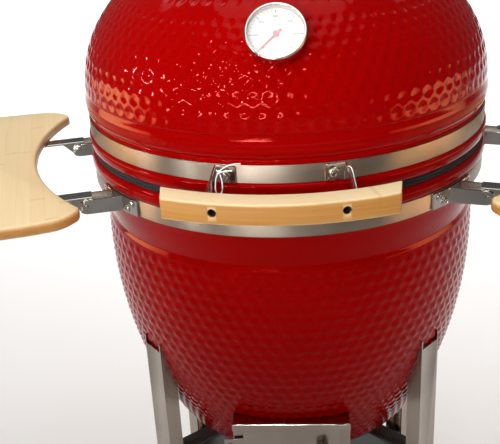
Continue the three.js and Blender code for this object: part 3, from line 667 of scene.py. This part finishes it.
def pressedRun(shape, start, end, courses, perRow):    # rows of dimples along shape(t) from start to end
    points, fields = [], {"row": [], "rowGap": [], "perTurn": [], "pressed": []}
    t, forward = start, 1 if end > start else -1
    for perTurn, untilRadius in courses:
        phase, stretch = 0, []
        while (end - t) * forward > 0 and shape(t)[0] > untilRadius:
            radius, height = shape(t)
            rowGap = dimples["rowShare"] * 2 * math.pi * radius / perTurn
            stretch.append((radius, height, phase / perRow, rowGap, perTurn))
            ahead = shape(t + forward * 1e-4)
            speed = math.dist((radius, height), ahead) / 1e-4
            t += forward * rowGap / perRow / speed
            phase += 1
        whole = (len(stretch) - 1) // perRow * perRow
        for i, (radius, height, row, rowGap, count) in enumerate(stretch):
            points.append((radius, height))
            for key, value in (("row", row), ("rowGap", rowGap), ("perTurn", count),
                               ("pressed", 1.0 if i <= whole else 0.0)):
                fields[key].append(value)
        speed = math.dist(shape(t), shape(t + forward * 1e-4)) / 1e-4
        t += forward * dimples["between"] / speed
    return points, fields


def shellFields(before, run, after, glazed):
    count = len(before) + len(run["row"]) + len(after)
    fields = {key: [0.0] * len(before) + values + [0.0] * len(after) for key, values in run.items()}
    fields["glazed"] = [1.0 if i < glazed else 0.0 for i in range(count)]
    return fields


def lip(at):                             # both shells' rim, as far as the top of the band
    rim, seat = body["rim"], body["seat"]
    return [at(body["rimInner"] + 0.002, 0), at(rim, 0, 0.0035), at(rim + 0.0042, 0.0075, 0.006),
            at(rim + 0.0034, 0.0175, 0.003), at(seat, 0.0203, 0.0006), at(seat, 0.0464, 0.0006)]


def lidShell():
    dome = {"across": 0.3016, "rise": 0.2155, "start": 0.0845, "neckFillet": 0.010,
            "courses": [(92, 0.232), (69, 0.168), (46, 0.110)]}
    inside = {"across": 0.277, "rise": 0.192}
    base = body["lidRim"]
    at = lambda r, h, f=0.0: (r, base + h, f)
    skirt = filleted([*lip(at),
        at(0.3006, 0.0468, 0.0012), at(0.2972, 0.0506, 0.0024), at(0.3024, 0.0566, 0.0042),
        at(0.3045, 0.0715, 0.0100), at(0.3010, 0.0838, 0.0016), at(0.3016, dome["start"])], 4)
    shape = lambda t: (dome["across"] * math.cos(t), base + dome["start"] + dome["rise"] * math.sin(t))
    last = math.acos(body["neck"] / dome["across"])      # where the dome meets the neck
    points, run = pressedRun(shape, 0.012, last - 0.16, dome["courses"], dimples["perRow"])
    top = [shape(last - 0.14 + 0.04 * i) for i in range(3)]
    neck, chimney, neckTop = body["neck"], body["chimney"], body["neckTop"]
    top += filleted([shape(last - 0.02), (neck, shape(last)[1], dome["neckFillet"]), (neck, neckTop, 0.003),
                     (chimney, neckTop, 0.003), (chimney, neckTop - 0.03)], 3)
    skyline = math.acos(chimney / inside["across"])
    glazed = len(skirt) + len(points) + len(top)
    top += [(inside["across"] * math.cos(skyline * (1 - i / 10)),
             base + 0.084 + inside["rise"] * math.sin(skyline * (1 - i / 10))) for i in range(11)]
    top += [(body["rimInner"] + 0.004, base + 0.03), (body["rimInner"] + 0.001, base + 0.003), skirt[0]]
    made = turned("lidShell", skirt + points + top, dimples["lidAround"],
                  shellFields(skirt, run, top, glazed), dimples["lidDepth"], dimples["share"])
    return settled(made, glaze, "lid", "lid_shell", crisp=70)


def bowlShell():
    belly = {"across": 0.2875, "depth": 0.460, "shoulder": 0.140, "first": 0.1075, "last": 0.4655,
             "bulge": 0.2868, "courses": [(92, 0.0)], "perRow": 5}
    inside = {"across": 0.2635, "depth": 0.436}
    base, foot = body["bowlRim"], body["bowlFoot"]
    at = lambda r, d, f=0.0: (r, base - d, f)

    def across(depth):
        if depth < belly["shoulder"]:
            return belly["bulge"] + (belly["across"] - belly["bulge"]) * math.sin(
                (depth - belly["first"]) / (belly["shoulder"] - belly["first"]) * math.pi / 2)
        return belly["across"] * math.sqrt(1 - ((depth - belly["shoulder"]) / belly["depth"]) ** 2)

    shape = lambda depth: (across(depth), base - depth)
    rimRun = filleted([*lip(at),
        at(0.2962, 0.0472, 0.0014), at(0.2912, 0.0700, 0.0200), at(0.2838, 0.0965, 0.0012),
        at(0.2866, 0.1035, 0.0028), at(belly["bulge"], belly["first"] - 0.001)], 3)
    points, run = pressedRun(shape, belly["first"], belly["last"], belly["courses"], belly["perRow"])
    toe = filleted([points[-1], (across(0.469), base - 0.469), (0.176, foot + 0.005, 0.006),
                    (0.157, foot, 0.006), (0.06, foot), (0, foot)], 4)[1:]
    outer = rimRun + points + toe
    glazed = len(outer)
    spring = math.asin((base - belly["shoulder"] - foot - 0.024) / inside["depth"])
    floorRun = [(0, foot + 0.024), (0.05, foot + 0.024)]
    floorRun += [(inside["across"] * math.cos(spring * (1 - i / 12)),
                  base - belly["shoulder"] - inside["depth"] * math.sin(spring * (1 - i / 12)))
                 for i in range(13)]
    floorRun += [(body["rimInner"] - 0.002, base - 0.05), (body["rimInner"] + 0.001, base - 0.003)]
    floorRun.append(rimRun[0])
    made = turnedBowl(outer, shellFields(rimRun, run, toe, glazed), floorRun)
    window = {"half": 0.060, "low": low("draft_frame") + 0.018, "high": high("draft_frame") - 0.018}
    cutBy(made, boxTool((-window["half"], -0.32, window["low"]), (window["half"], -0.09, window["high"])))
    return settled(made, glaze, "root", "base_shell", crisp=70)


def turnedBowl(outer, fields, floorRun):               # both walls, sewn together at the rim
    around = dimples["bowlAround"]
    shell = turned("bowlOutside", outer, around, fields, dimples["bowlDepth"], dimples["share"])
    lining = turned("bowlInside", floorRun, around, {"glazed": [0.0] * len(floorRun)})
    made = joined("bowlShell", shell, lining)
    with edited(made.data) as work:
        bmesh.ops.remove_doubles(work, verts=work.verts, dist=1e-5)
        bmesh.ops.recalc_face_normals(work, faces=work.faces)
    return made


lidShell()
bowlShell()
print("ceramic shells turned and dimpled")


# ---- bands, felt gaskets and the fire parts inside
def seams():
    for name, node, rides in (("bowlBand", "base_band", "root"), ("lidBand", "lid_band", "lid")):
        points = ringOutline(body["seat"] + 0.0002, body["bandOuter"], low(node), high(node), 0.0009)
        settled(turned(name, points, 256), bandSteel, rides, node)
    for name, node, rides in (("bowlGasket", "base_gasket", "root"), ("lidGasket", "lid_gasket", "lid"),
                              ("ventGasket", "vent_gasket", "lid")):
        inner = body["rimInner"] + 0.003 if node != "vent_gasket" else body["chimney"] + 0.001
        outer = high(node, 0)
        points = ringOutline(inner, outer, low(node), high(node), 0.0016)
        settled(turned(name, points, 192), felt, rides, node, crisp=60)


def firePot():
    floorZ, top, ledge = low("firebox"), high("firebox"), low("charcoal_grate") - 0.0003
    wall, across, depth, centre = 0.022, 0.2595, 0.432, body["bowlRim"] - 0.140
    outer = lambda z: across * math.sqrt(1 - ((centre - z) / depth) ** 2)
    levels = [floorZ + (top - floorZ) * i / 20 for i in range(21)]
    outside = [(outer(z), z) for z in levels]
    shelf, ashHole, basin = outer(ledge) - wall, 0.060, floorZ + 0.018
    corners = [(outer(top) - wall, top, 0.003), (shelf, ledge, 0.004), (shelf - 0.014, ledge, 0.004),
               (shelf - 0.036, basin, 0.01), (ashHole, basin, 0.004), (ashHole, floorZ, 0.002)]
    run = [(*outside[0], 0.002)] + outside[1:-1] + [(*outside[-1], 0.003)] + corners
    made = turned("firePot", filleted(run, 4, closed=True), 128)
    sill = floorZ + 0.0185
    cutBy(made, boxTool((-0.055, -0.3, sill), (0.055, -0.05, sill + 0.0495)))
    settled(made, fireclay, "root", "firebox")
    ringOuter = high("fire_ring", 0)
    points = ringOutline(ringOuter - wall + 0.002, ringOuter, low("fire_ring"), high("fire_ring"), 0.0035)
    settled(turned("fireRing", points, 160), fireclay, "root", "fire_ring")


def cookingGrate():
    wireSize = {"rim": 0.0040, "bar": 0.0026, "pitch": 0.014, "cross": 0.38}
    outer, base = high("cooking_grate", 0), low("cooking_grate")
    reach = outer - wireSize["rim"]
    grate = "cooking_grate"
    rim = [(x, y, base + wireSize["rim"]) for x, y in circle(0, 0, reach, 120)]
    wired("cookingGrateRim", [(rim, True)], wireSize["rim"], brightSteel, grate, grate)
    runs = []
    rows = int((reach - 0.01) / wireSize["pitch"])
    for row in range(-rows, rows + 1):
        y = row * wireSize["pitch"]
        half = math.sqrt((reach - 0.001) ** 2 - y * y)
        runs.append(([(-half, y, base + 0.0054), (half, y, base + 0.0054)], False))
    for x in (-wireSize["cross"] * outer, wireSize["cross"] * outer):
        half = math.sqrt((reach - 0.001) ** 2 - x * x)
        runs.append(([(x, -half, base + 0.0028), (x, half, base + 0.0028)], False))
    wired("cookingGrateBars", runs, wireSize["bar"], brightSteel, grate, sides=8)


seams()
firePot()
cookingGrate()
refined("charcoal_grate", "charcoalGrate", castIron, "charcoal_grate", 0.0008)
print("bands, gaskets and fire parts made")


# ---- bamboo: the handle and the two shelves
def grained(made, mapping):              # stores the board's own directions, and how edge-on each point is as a painted-shade mask for the sides
    mesh = made.data
    levels = [min(1.0, abs(vertex.normal.z) * 1.15) for vertex in mesh.vertices]
    grain = [mapping(vertex.co) for vertex in mesh.vertices]
    stored(mesh, "grain", grain)
    # painted shade: edge is 1 on upright faces and 0 on level tops and bottoms, so the sides are darkened
    stored(mesh, "edge", [(1 - level) ** 0.7 for level in levels])
    return made


def lidHandle():
    bar = {"inner": body["bandOuter"] + 0.045, "depth": 0.034, "half": 25.8, "frontHalf": 22.6,
           "steps": 72, "screw": 12.3}
    bottom, top = low("lid_handle"), high("lid_handle")
    outer = bar["inner"] + bar["depth"]

    def halfAngle(radius):
        return bar["half"] + (bar["frontHalf"] - bar["half"]) * (radius - bar["inner"]) / bar["depth"]

    section = filleted([(bar["inner"], bottom, 0.003), (outer, bottom, 0.003), (outer, top, 0.003),
                        (bar["inner"], top, 0.003)], 4, closed=True)[:-1]
    work = bmesh.new()
    rings = []
    for i in range(bar["steps"] + 1):
        share = 2 * i / bar["steps"] - 1
        rings.append([work.verts.new(spun((0, -r, z), share * halfAngle(r))) for r, z in section])
    for before, after in zip(rings, rings[1:]):
        for k in range(len(section)):
            n = (k + 1) % len(section)
            work.faces.new((before[k], before[n], after[n], after[k]))
    for ring in (rings[0], rings[-1]):
        work.faces.new(ring)
    bmesh.ops.recalc_face_normals(work, faces=work.faces)
    ends = [e for e in work.edges if any(len(f.verts) > 4 for f in e.link_faces)]
    eased(work, ends, 0.0014, 3)
    made = sewn(work, "lidHandle")
    middle = (bottom + top) / 2 + 0.0015
    tools, screws = [], []
    for side in (-1, 1):
        at = lambda r: spun((0, -r, middle), side * bar["screw"])
        tools.append(rodTool(at(outer - 0.016), at(outer + 0.01), 0.0056, 32))
        screws.append((at(outer - 0.0158), at(1) - at(0), 1.0))
    cutBy(made, *tools)
    grained(made, lambda p: (math.atan2(p.x, -p.y) * 0.36, p.z * 1.0 + 0.004, math.hypot(p.x, p.y)))
    settled(made, bamboo, "lid", "lid_handle", crisp=50)
    return screws


def shelfBoard(name, side, node):
    plan = {"inner": 0.387, "half": 0.240, "outer": 0.5847, "arcHalf": 0.199, "corner": 0.044, "edge": 0.0055}
    bottom, top = low(node), high(node)
    arcReach = math.sqrt(plan["inner"] ** 2 - plan["arcHalf"] ** 2)
    arcAngle = math.asin(plan["arcHalf"] / plan["inner"])
    arc = [(plan["inner"] * math.sin(arcAngle * k / 28), -plan["inner"] * math.cos(arcAngle * k / 28))
           for k in range(-28, 29)]
    hornReach = arcReach + 0.001
    wide = plan["half"]
    half = filleted([
        (plan["arcHalf"], -arcReach, 0.0), (wide - 0.029, -hornReach, 0.012),
        (wide - 0.013, -hornReach - 0.014, 0.012), (wide - 0.004, -hornReach - 0.031, 0.014),
        (wide, -hornReach - 0.060, 0.02), (wide + 0.006, -plan["outer"], plan["corner"]),
        (0, -plan["outer"])], 6)[1:-1]
    outline = arc + half + [(-x, y) for x, y in reversed(half)]
    work = bmesh.new()
    lower = [work.verts.new((x, y, bottom)) for x, y in outline]
    upper = [work.verts.new((x, y, top)) for x, y in outline]
    for i in range(len(outline)):
        n = (i + 1) % len(outline)
        work.faces.new((lower[i], lower[n], upper[n], upper[i]))
    caps = [work.faces.new(lower), work.faces.new(upper)]
    bmesh.ops.recalc_face_normals(work, faces=work.faces)
    rims = {e for f in caps for e in f.edges}
    eased(work, list(rims), plan["edge"], 4)
    made = sewn(work, name)
    grained(made, lambda p: (p.x, p.y + 0.3, p.z))
    turn = side * body["shelfTurn"]
    shifted(made, Matrix.Rotation(math.radians(turn), 4, "Z"))
    return settled(made, bamboo, "shelf_" + ("left" if side < 0 else "right"), node, crisp=50)


handleScrews = lidHandle()
shelfBoard("shelfBoardLeft", -1, "shelf_board_left")
shelfBoard("shelfBoardRight", 1, "shelf_board_right")
print("bamboo handle and shelves shaped")


# ---- metal fittings
def buttonHead():                        # a round head on a washer, with a round socket recess
    head = {"radius": 0.0060, "height": 0.0036, "washer": 0.0078, "washerHeight": 0.0010, "socket": 0.0026}
    radius, height, washer, socket = head["radius"], head["height"], head["washer"], head["socket"]
    points = filleted([(0, height * 0.45), (socket, height * 0.45), (socket * 1.08, height, 0.0002),
                       (radius * 0.62, height, 0.0012), (radius, height * 0.42, 0.0012),
                       (radius, head["washerHeight"]), (washer, head["washerHeight"], 0.0003),
                       (washer, 0), (0, 0)], 3)
    return turned("buttonHead", points, 24)


def screwCup():                          # a dark recessed screw in its sleeve
    points = filleted([(0, 0.0035), (0.0034, 0.0035, 0.0006), (0.0034, 0.0015), (0.0046, 0.0015),
                       (0.0046, 0.0135), (0.0054, 0.0135, 0.0003), (0.0054, 0), (0, 0)], 3)
    return turned("screwCup", points, 32)


def radial(radius, azimuth, z):
    return spun((0, -radius, z), azimuth), spun((0, -1, 0), azimuth)


def fittings():
    head = buttonHead()
    plate = 0.0034
    bandMiddle = (low("lid_band") + high("lid_band")) / 2
    lowerMiddle = (low("base_band") + high("base_band")) / 2
    strapFace = body["bandOuter"] + plate
    lidSpots = []
    for azimuth in (-13.2, 12.5):
        place, way = radial(strapFace + 0.0039, azimuth, bandMiddle)
        lidSpots.append((place, way, 0.95))
    fixed("strapBolts", head, lidSpots, brightSteel, "lid")
    cup = screwCup()
    fixed("handleScrews", cup, handleScrews, blackSteel, "lid")
    bpy.data.objects.remove(cup)
    rootSpots = []
    for side in (-1, 1):
        for bracket in (-1, 1):
            for offset in (-30, -22, 24, 34):
                across = bracket * (0.120 + offset * 0.001)
                tilt = math.degrees(math.asin(across / body["bandOuter"]))
                rise = 0.0052 if offset in (-30, 34) else -0.0052
                place, way = radial(strapFace, side * body["shelfTurn"] + tilt, lowerMiddle + rise)
                rootSpots.append((place, way, 0.8))
    for azimuth in (165, 169, 191, 195):
        place, way = radial(body["bandOuter"] + 0.0044, azimuth, lowerMiddle)
        rootSpots.append((place, way, 0.8))
    fixed("bandBolts", head, rootSpots, brightSteel, "root")
    bpy.data.objects.remove(head)


fittings()
for place in ("left", "right"):
    refined("handle_strap_" + place, "handleStrap" + place.title(), brightSteel, "lid", 0.0005)
    for end in ("front", "back"):
        tag = place.title() + end.title()
        refined(f"shelf_bracket_{place}_{end}", "shelfBracket" + tag, brightSteel, "root", 0.0005)
        refined(f"shelf_strap_{place}_{end}", "shelfStrap" + tag, brightSteel, "shelf_" + place, 0.0005)
print("fittings bolted on")


# ---- rear hinge with two torsion springs
def hingeSprings():
    spring = {"radius": 0.0102, "wire": 0.0019, "turns": 9, "start": 0.0285, "end": 0.0735, "leg": 0.020}
    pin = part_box("hinge_pin")
    y, z = (pin[0].y + pin[1].y) / 2, (pin[0].z + pin[1].z) / 2
    steps = spring["turns"] * 20
    for side, place in ((-1, "left"), (1, "right")):
        run = [(side * (spring["start"] + (spring["end"] - spring["start"]) * i / steps),
                y + spring["radius"] * math.cos(math.tau * spring["turns"] * i / steps),
                z + spring["radius"] * math.sin(math.tau * spring["turns"] * i / steps))
               for i in range(steps + 1)]
        run.insert(0, (run[0][0], run[0][1], z - spring["leg"]))
        wired("hingeSpring" + place.title(), [(run, False)], spring["wire"], springSteel, "root",
              "hinge_spring_" + place, sides=8)


hingeSprings()
refined("hinge_base", "hingeBase", standSteel, "root", 0.0006)
refined("hinge_lid", "hingeLid", standSteel, "lid", 0.0006)
refined("hinge_pin", "hingePin", brightSteel, "root", 0.0008)
print("hinge made")


# ---- thermometer, drawn along +Z and set square to the dome
def thermometer():
    gauge = {"height": 0.112, "across": 0.303, "rise": 0.216, "radius": 0.038, "wall": 0.002, "depth": 0.018,
             "marks": 31, "numbers": range(100, 701, 100), "sweep": 270, "cold": 135}
    out = gauge["across"] * math.sqrt(1 - (gauge["height"] / gauge["rise"]) ** 2)
    tilt = math.atan2(gauge["height"] / gauge["rise"] ** 2, out / gauge["across"] ** 2)
    square = Matrix.Translation((0, -out, body["lidRim"] + 0.084 + gauge["height"])) @ Matrix.Rotation(
        math.pi / 2 - tilt, 4, "X")
    r, wall, depth = gauge["radius"], gauge["wall"], gauge["depth"]
    cup = filleted([(0, 0.001), (r, 0.001, 0.003), (r, depth, 0.0016), (r - wall - 0.0012, depth, 0.0006),
                    (r - wall, depth - 0.002, 0.0005), (r - wall, 0.003, 0.0005), (0, 0.003)], 4)
    case = turned("cup", cup, 96)
    stem = rods("stem", ((0, 0, -0.084), (0, 0, 0.002), 0.0036, 20),
                ((0, 0, 0.0002), (0, 0, 0.002), 0.009, 6))
    settled(shifted(joined("thermometerCase", case, stem), square), brightSteel, "lid", "thermometer_case")
    inside, face = r - wall - 0.0003, 0.0033
    dial = turned("thermometerDial", filleted([(0, face), (inside, face), (inside, face + 0.004, 0.0004),
                                               (0, face + 0.004)], 3), 96)
    settled(shifted(dial, square), dialWhite, "lid", "thermometer_dial")
    printed(gauge, inside, face + 0.004, square)
    needle = 0.0083
    flat = bmesh.new()
    spine = [(-0.0016, -0.009), (0.0016, -0.009), (0.0005, inside - 0.007), (-0.0005, inside - 0.007)]
    lower = [flat.verts.new((x, y, needle)) for x, y in spine]
    upper = [flat.verts.new((x, y, needle + 0.001)) for x, y in spine]
    flat.faces.new(lower)
    flat.faces.new(upper)
    for i in range(4):
        flat.faces.new((lower[i], lower[(i + 1) % 4], upper[(i + 1) % 4], upper[i]))
    rodMesh(flat, (0, 0, needle), (0, 0, needle + 0.0024), 0.004, 24)
    bmesh.ops.recalc_face_normals(flat, faces=flat.faces)
    cold = Matrix.Rotation(math.radians(gauge["cold"]), 4, "Z")
    pointer = shifted(sewn(flat, "thermometerPointer"), square @ cold)
    settled(pointer, pointerRed, "needle", "thermometer_pointer")
    pane = turned("thermometerGlass", filleted([(0, depth - 0.004), (inside, depth - 0.004),
                                                (inside, depth - 0.002), (0, depth - 0.0018)], 3), 96)
    settled(shifted(pane, square), glass, "lid", "thermometer_glass")


def printed(gauge, inside, face, square):              # scale marks and round numbers on the dial
    work = bmesh.new()
    last = gauge["marks"] - 1
    for i in range(gauge["marks"]):
        long = i % 5 == 0
        turn = Matrix.Rotation(math.radians(gauge["cold"] - gauge["sweep"] * i / last), 4, "Z")
        size = (0.0009 if long else 0.0005, 0.0042 if long else 0.0024, 0.0003)
        middle = Matrix.Translation((0, inside - 0.0022 - size[1] / 2, face + 0.0001))
        bmesh.ops.create_cube(work, size=1, matrix=turn @ middle @ Matrix.Diagonal((*size, 1)))
    parts = [sewn(work, "marks")]
    numbers = list(gauge["numbers"])
    for i, number in enumerate(numbers):
        data = bpy.data.curves.new("number", "FONT")
        data.body, data.size, data.extrude = str(number), 0.0052, 0.00015
        data.align_x, data.align_y = "CENTER", "CENTER"
        writing = newObject("number", data)
        mesh = bpy.data.meshes.new_from_object(writing.evaluated_get(bpy.context.evaluated_depsgraph_get()))
        bpy.data.objects.remove(writing)
        turn = math.radians(gauge["cold"] - gauge["sweep"] * i / (len(numbers) - 1))
        reach = inside - 0.0112
        mesh.transform(Matrix.Translation((-reach * math.sin(turn), reach * math.cos(turn), face + 0.0001)))
        parts.append(newObject("number", mesh))
    settled(shifted(joined("thermometerScale", *parts), square), dialInk, "lid")


thermometer()
print("thermometer set in the lid")


# ---- top vent
def plateWithHoles(outline, holes, bottom, top, bevel=0.0008):     # a flat plate cut from closed lines
    data = bpy.data.curves.new("plate", "CURVE")
    data.dimensions, data.fill_mode = "2D", "BOTH"
    data.extrude, data.bevel_depth, data.bevel_resolution = (top - bottom) / 2 - bevel, bevel, 2
    data.offset = -bevel
    for points in [outline] + holes:
        line = data.splines.new("POLY")
        line.points.add(len(points) - 1)
        line.use_cyclic_u = True
        for spot, (x, y) in zip(line.points, points):
            spot.co = (x, y, 0, 1)
    plate = newObject("plate", data)
    mesh = bpy.data.meshes.new_from_object(plate.evaluated_get(bpy.context.evaluated_depsgraph_get()))
    bpy.data.objects.remove(plate)
    mesh.transform(Matrix.Translation((0, 0, (top + bottom) / 2)))
    with edited(mesh) as work:
        bmesh.ops.remove_doubles(work, verts=work.verts, dist=1e-6)
        bmesh.ops.recalc_face_normals(work, faces=work.faces)
    return newObject("plate", mesh)


def topVent():
    vent = {"radius": 0.076, "holes": 5, "holeRadius": 0.011, "holeCircle": 0.034, "plate": 0.005,
            "pivot": 0.075, "wheel": 0.050}
    base, top = low("vent_collar"), low("vent_slider") - 0.0003
    seat = body["neckTop"] + 0.003
    points = filleted([(body["chimney"] - 0.006, base, 0.001), (body["chimney"] - 0.001, base, 0.001),
                       (body["chimney"] - 0.001, seat), (vent["radius"], seat, 0.0012),
                       (vent["radius"], seat + 0.006, 0.003), (vent["radius"] - 0.009, top, 0.003),
                       (body["chimney"] - 0.006, top, 0.001)], 4, closed=True)
    collar = turned("collar", points, 96)
    pivot = vent["pivot"]
    ear = rods("ear", ((pivot, 0, seat), (pivot, 0, top), 0.009, 32),
               ((pivot, 0, top - 0.005), (pivot, 0, top + vent["plate"] + 0.004), 0.0035, 24))
    settled(joined("ventCollar", collar, ear), castIron, "lid", "vent_collar")

    def ring(offset):
        return [circle(vent["holeCircle"] * math.sin(math.radians(offset + 72 * i)),
                       -vent["holeCircle"] * math.cos(math.radians(offset + 72 * i)), vent["holeRadius"])
                for i in range(vent["holes"])]

    plateLow = top + 0.0003
    plateHigh = plateLow + vent["plate"]
    disc = vent["radius"] - 0.013
    shoulder = math.degrees(math.asin(0.022 / disc))
    outline = [(disc * math.cos(math.radians(a)), disc * math.sin(math.radians(a)))
               for a in [shoulder + (360 - 2 * shoulder) * i / 90 for i in range(91)]]
    outline += [(vent["pivot"] + 0.009 * math.cos(math.radians(a)), 0.009 * math.sin(math.radians(a)))
                for a in range(-85, 86, 17)]
    slider = plateWithHoles(outline, [circle(vent["pivot"], 0, 0.004)] + ring(0), plateLow, plateHigh)
    post = rods("post", ((0, 0, plateLow + 0.001), (0, 0, plateHigh + 0.009), 0.004, 24))
    settled(joined("ventSlider", slider, post), castIron, "vent_slider", "vent_slider")
    wheelLow = plateHigh + 0.0003
    wheelHigh = wheelLow + 0.004
    edge = circle(0, 0, vent["wheel"], 96)
    wheel = plateWithHoles(edge, [circle(0, 0, 0.0044)] + ring(36), wheelLow, wheelHigh)
    knob = vent["holeCircle"] + 0.004
    grip = turned("knob", filleted([
        (0, wheelHigh - 0.001), (0.0045, wheelHigh - 0.001), (0.0042, wheelHigh + 0.006, 0.002),
        (0.006, wheelHigh + 0.009, 0.002), (0.006, wheelHigh + 0.014, 0.002), (0, wheelHigh + 0.014)], 4), 32)
    shifted(grip, Matrix.Translation((0, -knob, 0)))
    settled(joined("ventWheel", wheel, grip), castIron, "vent_wheel", "vent_wheel")


topVent()
print("vent made")


# ---- draft door
refined("draft_frame", "draftFrame", standSteel, "root", 0.0008)
refined("ash_screen", "ashScreen", standSteel, "ash_screen", 0.0003)
refined("draft_door", "draftDoor", standSteel, "draft_door", 0.0006)


# ---- stand and casters
def wheels():
    tyre = {"radius": 0.0375, "half": 0.012, "hub": 0.022}
    r, h, hub = tyre["radius"], tyre["half"], tyre["hub"]
    for place in ("front_left", "front_right", "back_left", "back_right"):
        node = "caster_wheel_" + place
        lowest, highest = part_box(node)
        middle = (lowest + highest) / 2
        middle.z = r
        square = Matrix.Translation(middle) @ Matrix.Rotation(math.pi / 2, 4, "Y")
        tag = "".join(word.title() for word in place.split("_"))
        tread = turned("tread", filleted([
            (hub, -h + 0.001), (r - 0.005, -h, 0.001), (r, -h + 0.005, 0.004), (r, h - 0.005, 0.004),
            (r - 0.005, h, 0.001), (hub, h - 0.001), (hub, -h + 0.001)], 4), 64)
        settled(renamed(shifted(tread, square), "casterTyre" + tag), rubber, node, node)
        core = turned("core", filleted([
            (0.0046, -h), (0.009, -h, 0.001), (0.011, -h + 0.004, 0.001), (hub - 0.003, -h + 0.005, 0.001),
            (hub - 0.0002, -h + 0.001, 0.0005), (hub - 0.0002, h - 0.001, 0.0005),
            (hub - 0.003, h - 0.005, 0.001), (0.011, h - 0.004, 0.001), (0.009, h, 0.001), (0.0046, h),
            (0.0046, -h)], 3), 48)
        settled(renamed(shifted(core, square), "casterHub" + tag), blackSteel, node)
        refined("caster_fork_" + place, "casterFork" + tag, brightSteel, "caster_fork_" + place, 0.0005)
        refined("stand_post_" + place, "standPost" + tag, standSteel, "root", 0.0009)
        refined("post_pad_" + place, "postPad" + tag, rubber, "root", 0.0012)


def renamed(made, name):
    made.name = name
    return made


def trayAndCradle():
    outer, base, top, sheet = high("stand_tray", 0), low("stand_tray"), high("stand_tray"), 0.0025
    points = filleted([(0, base), (outer, base, 0.004), (outer, top, 0.001), (outer - sheet, top, 0.001),
                       (outer - sheet, base + sheet, 0.003), (0, base + sheet)], 5)
    settled(turned("standTray", points, 144), blackSteel, "root", "stand_tray")
    refined("bowl_cradle", "bowlCradle", blackSteel, "root", 0.0008)


wheels()
trayAndCradle()
print("stand and casters made")


# ---- stage and lights
studio = {"floor": (0.86, 0.85, 0.84), "sky": (0.80, 0.82, 0.85), "skyStrength": 0.13}


def stageFloor():
    mesh = bpy.data.meshes.new("floor")
    half = 9
    corners = ((-1, -1), (1, -1), (1, 1), (-1, 1))
    mesh.from_pydata([(half * x, half * y, 0) for x, y in corners], [], [(0, 1, 2, 3)])
    made = newObject("floor", mesh)
    paint = Finish("floor", {"Base Color": studio["floor"], "Roughness": 0.9})
    mesh.materials.append(paint.material)


def lamp(name, spot, target, size, power, colour=(1, 1, 1), tall=None, spread=180):
    data = bpy.data.lights.new(name, "AREA")
    data.shape, data.size, data.size_y = "RECTANGLE", size, tall or size
    data.energy, data.color, data.spread = power, colour, math.radians(spread)
    made = bpy.data.objects.new(name, data)
    made.matrix_world = Matrix.Translation(spot) @ (
        Vector(target) - Vector(spot)).to_track_quat("-Z", "Y").to_matrix().to_4x4()
    scene.collection.objects.link(made)


def stripLamps():                        # long lamps that show as short dashes in the lid's dimples
    strips = {"away": 2.5, "power": 0.42, "spread": 32,
              "places": ((-17, 8, 2.6, 1.00, 0.16), (-53, 7, 0.9, 0.34, 0.10), (-82, 14, 0.6, 0.26, 0.08),
                         (-31, 17, 0.5, 0.17, 0.06), (-4, 15, 0.5, 0.17, 0.06), (-50, 27, 0.5, 0.17, 0.06),
                         (-20, 30, 0.5, 0.17, 0.06), (-38, 42, 0.5, 0.17, 0.06), (-6, 43, 0.5, 0.17, 0.06))}
    lid = Vector((0, -0.15, 1.02))
    for i, (azimuth, climb, share, length, tall) in enumerate(strips["places"]):
        level = strips["away"] * math.cos(math.radians(climb))
        spot = lid + spun((0, -level, strips["away"] * math.sin(math.radians(climb))), azimuth)
        lamp(f"strip{i}", spot, lid, length, strips["power"] * share, tall=tall, spread=strips["spread"])


def studioLights():
    stripLamps()
    lamp("softTop", (0, -0.3, 3.4), (0, 0, 0.9), 2.2, 10, spread=90)
    lamp("backFloor", (0, 5.2, 4.6), (0, 5.2, 0), 8, 400, tall=7.4, spread=100)
    lamp("frontFloor", (0, -6.4, 4.0), (0, -6.4, 0), 8, 200, tall=5.6, spread=50)
    lamp("warmLeft", (-2.4, 0.15, 0.70), (0, 0, 0.86), 2.0, 3.6, (1, 0.58, 0.27), 0.42, spread=70)
    lamp("warmRight", (2.3, -0.35, 0.70), (0, 0, 0.86), 2.4, 4.2, (1, 0.58, 0.27), 0.42, spread=70)
    world = bpy.data.worlds.new("studio")
    world.use_nodes = True
    back = world.node_tree.nodes["Background"].inputs
    back[0].default_value, back[1].default_value = (*studio["sky"], 1), studio["skyStrength"]
    scene.world = world


stageFloor()
studioLights()
print("stage lit")
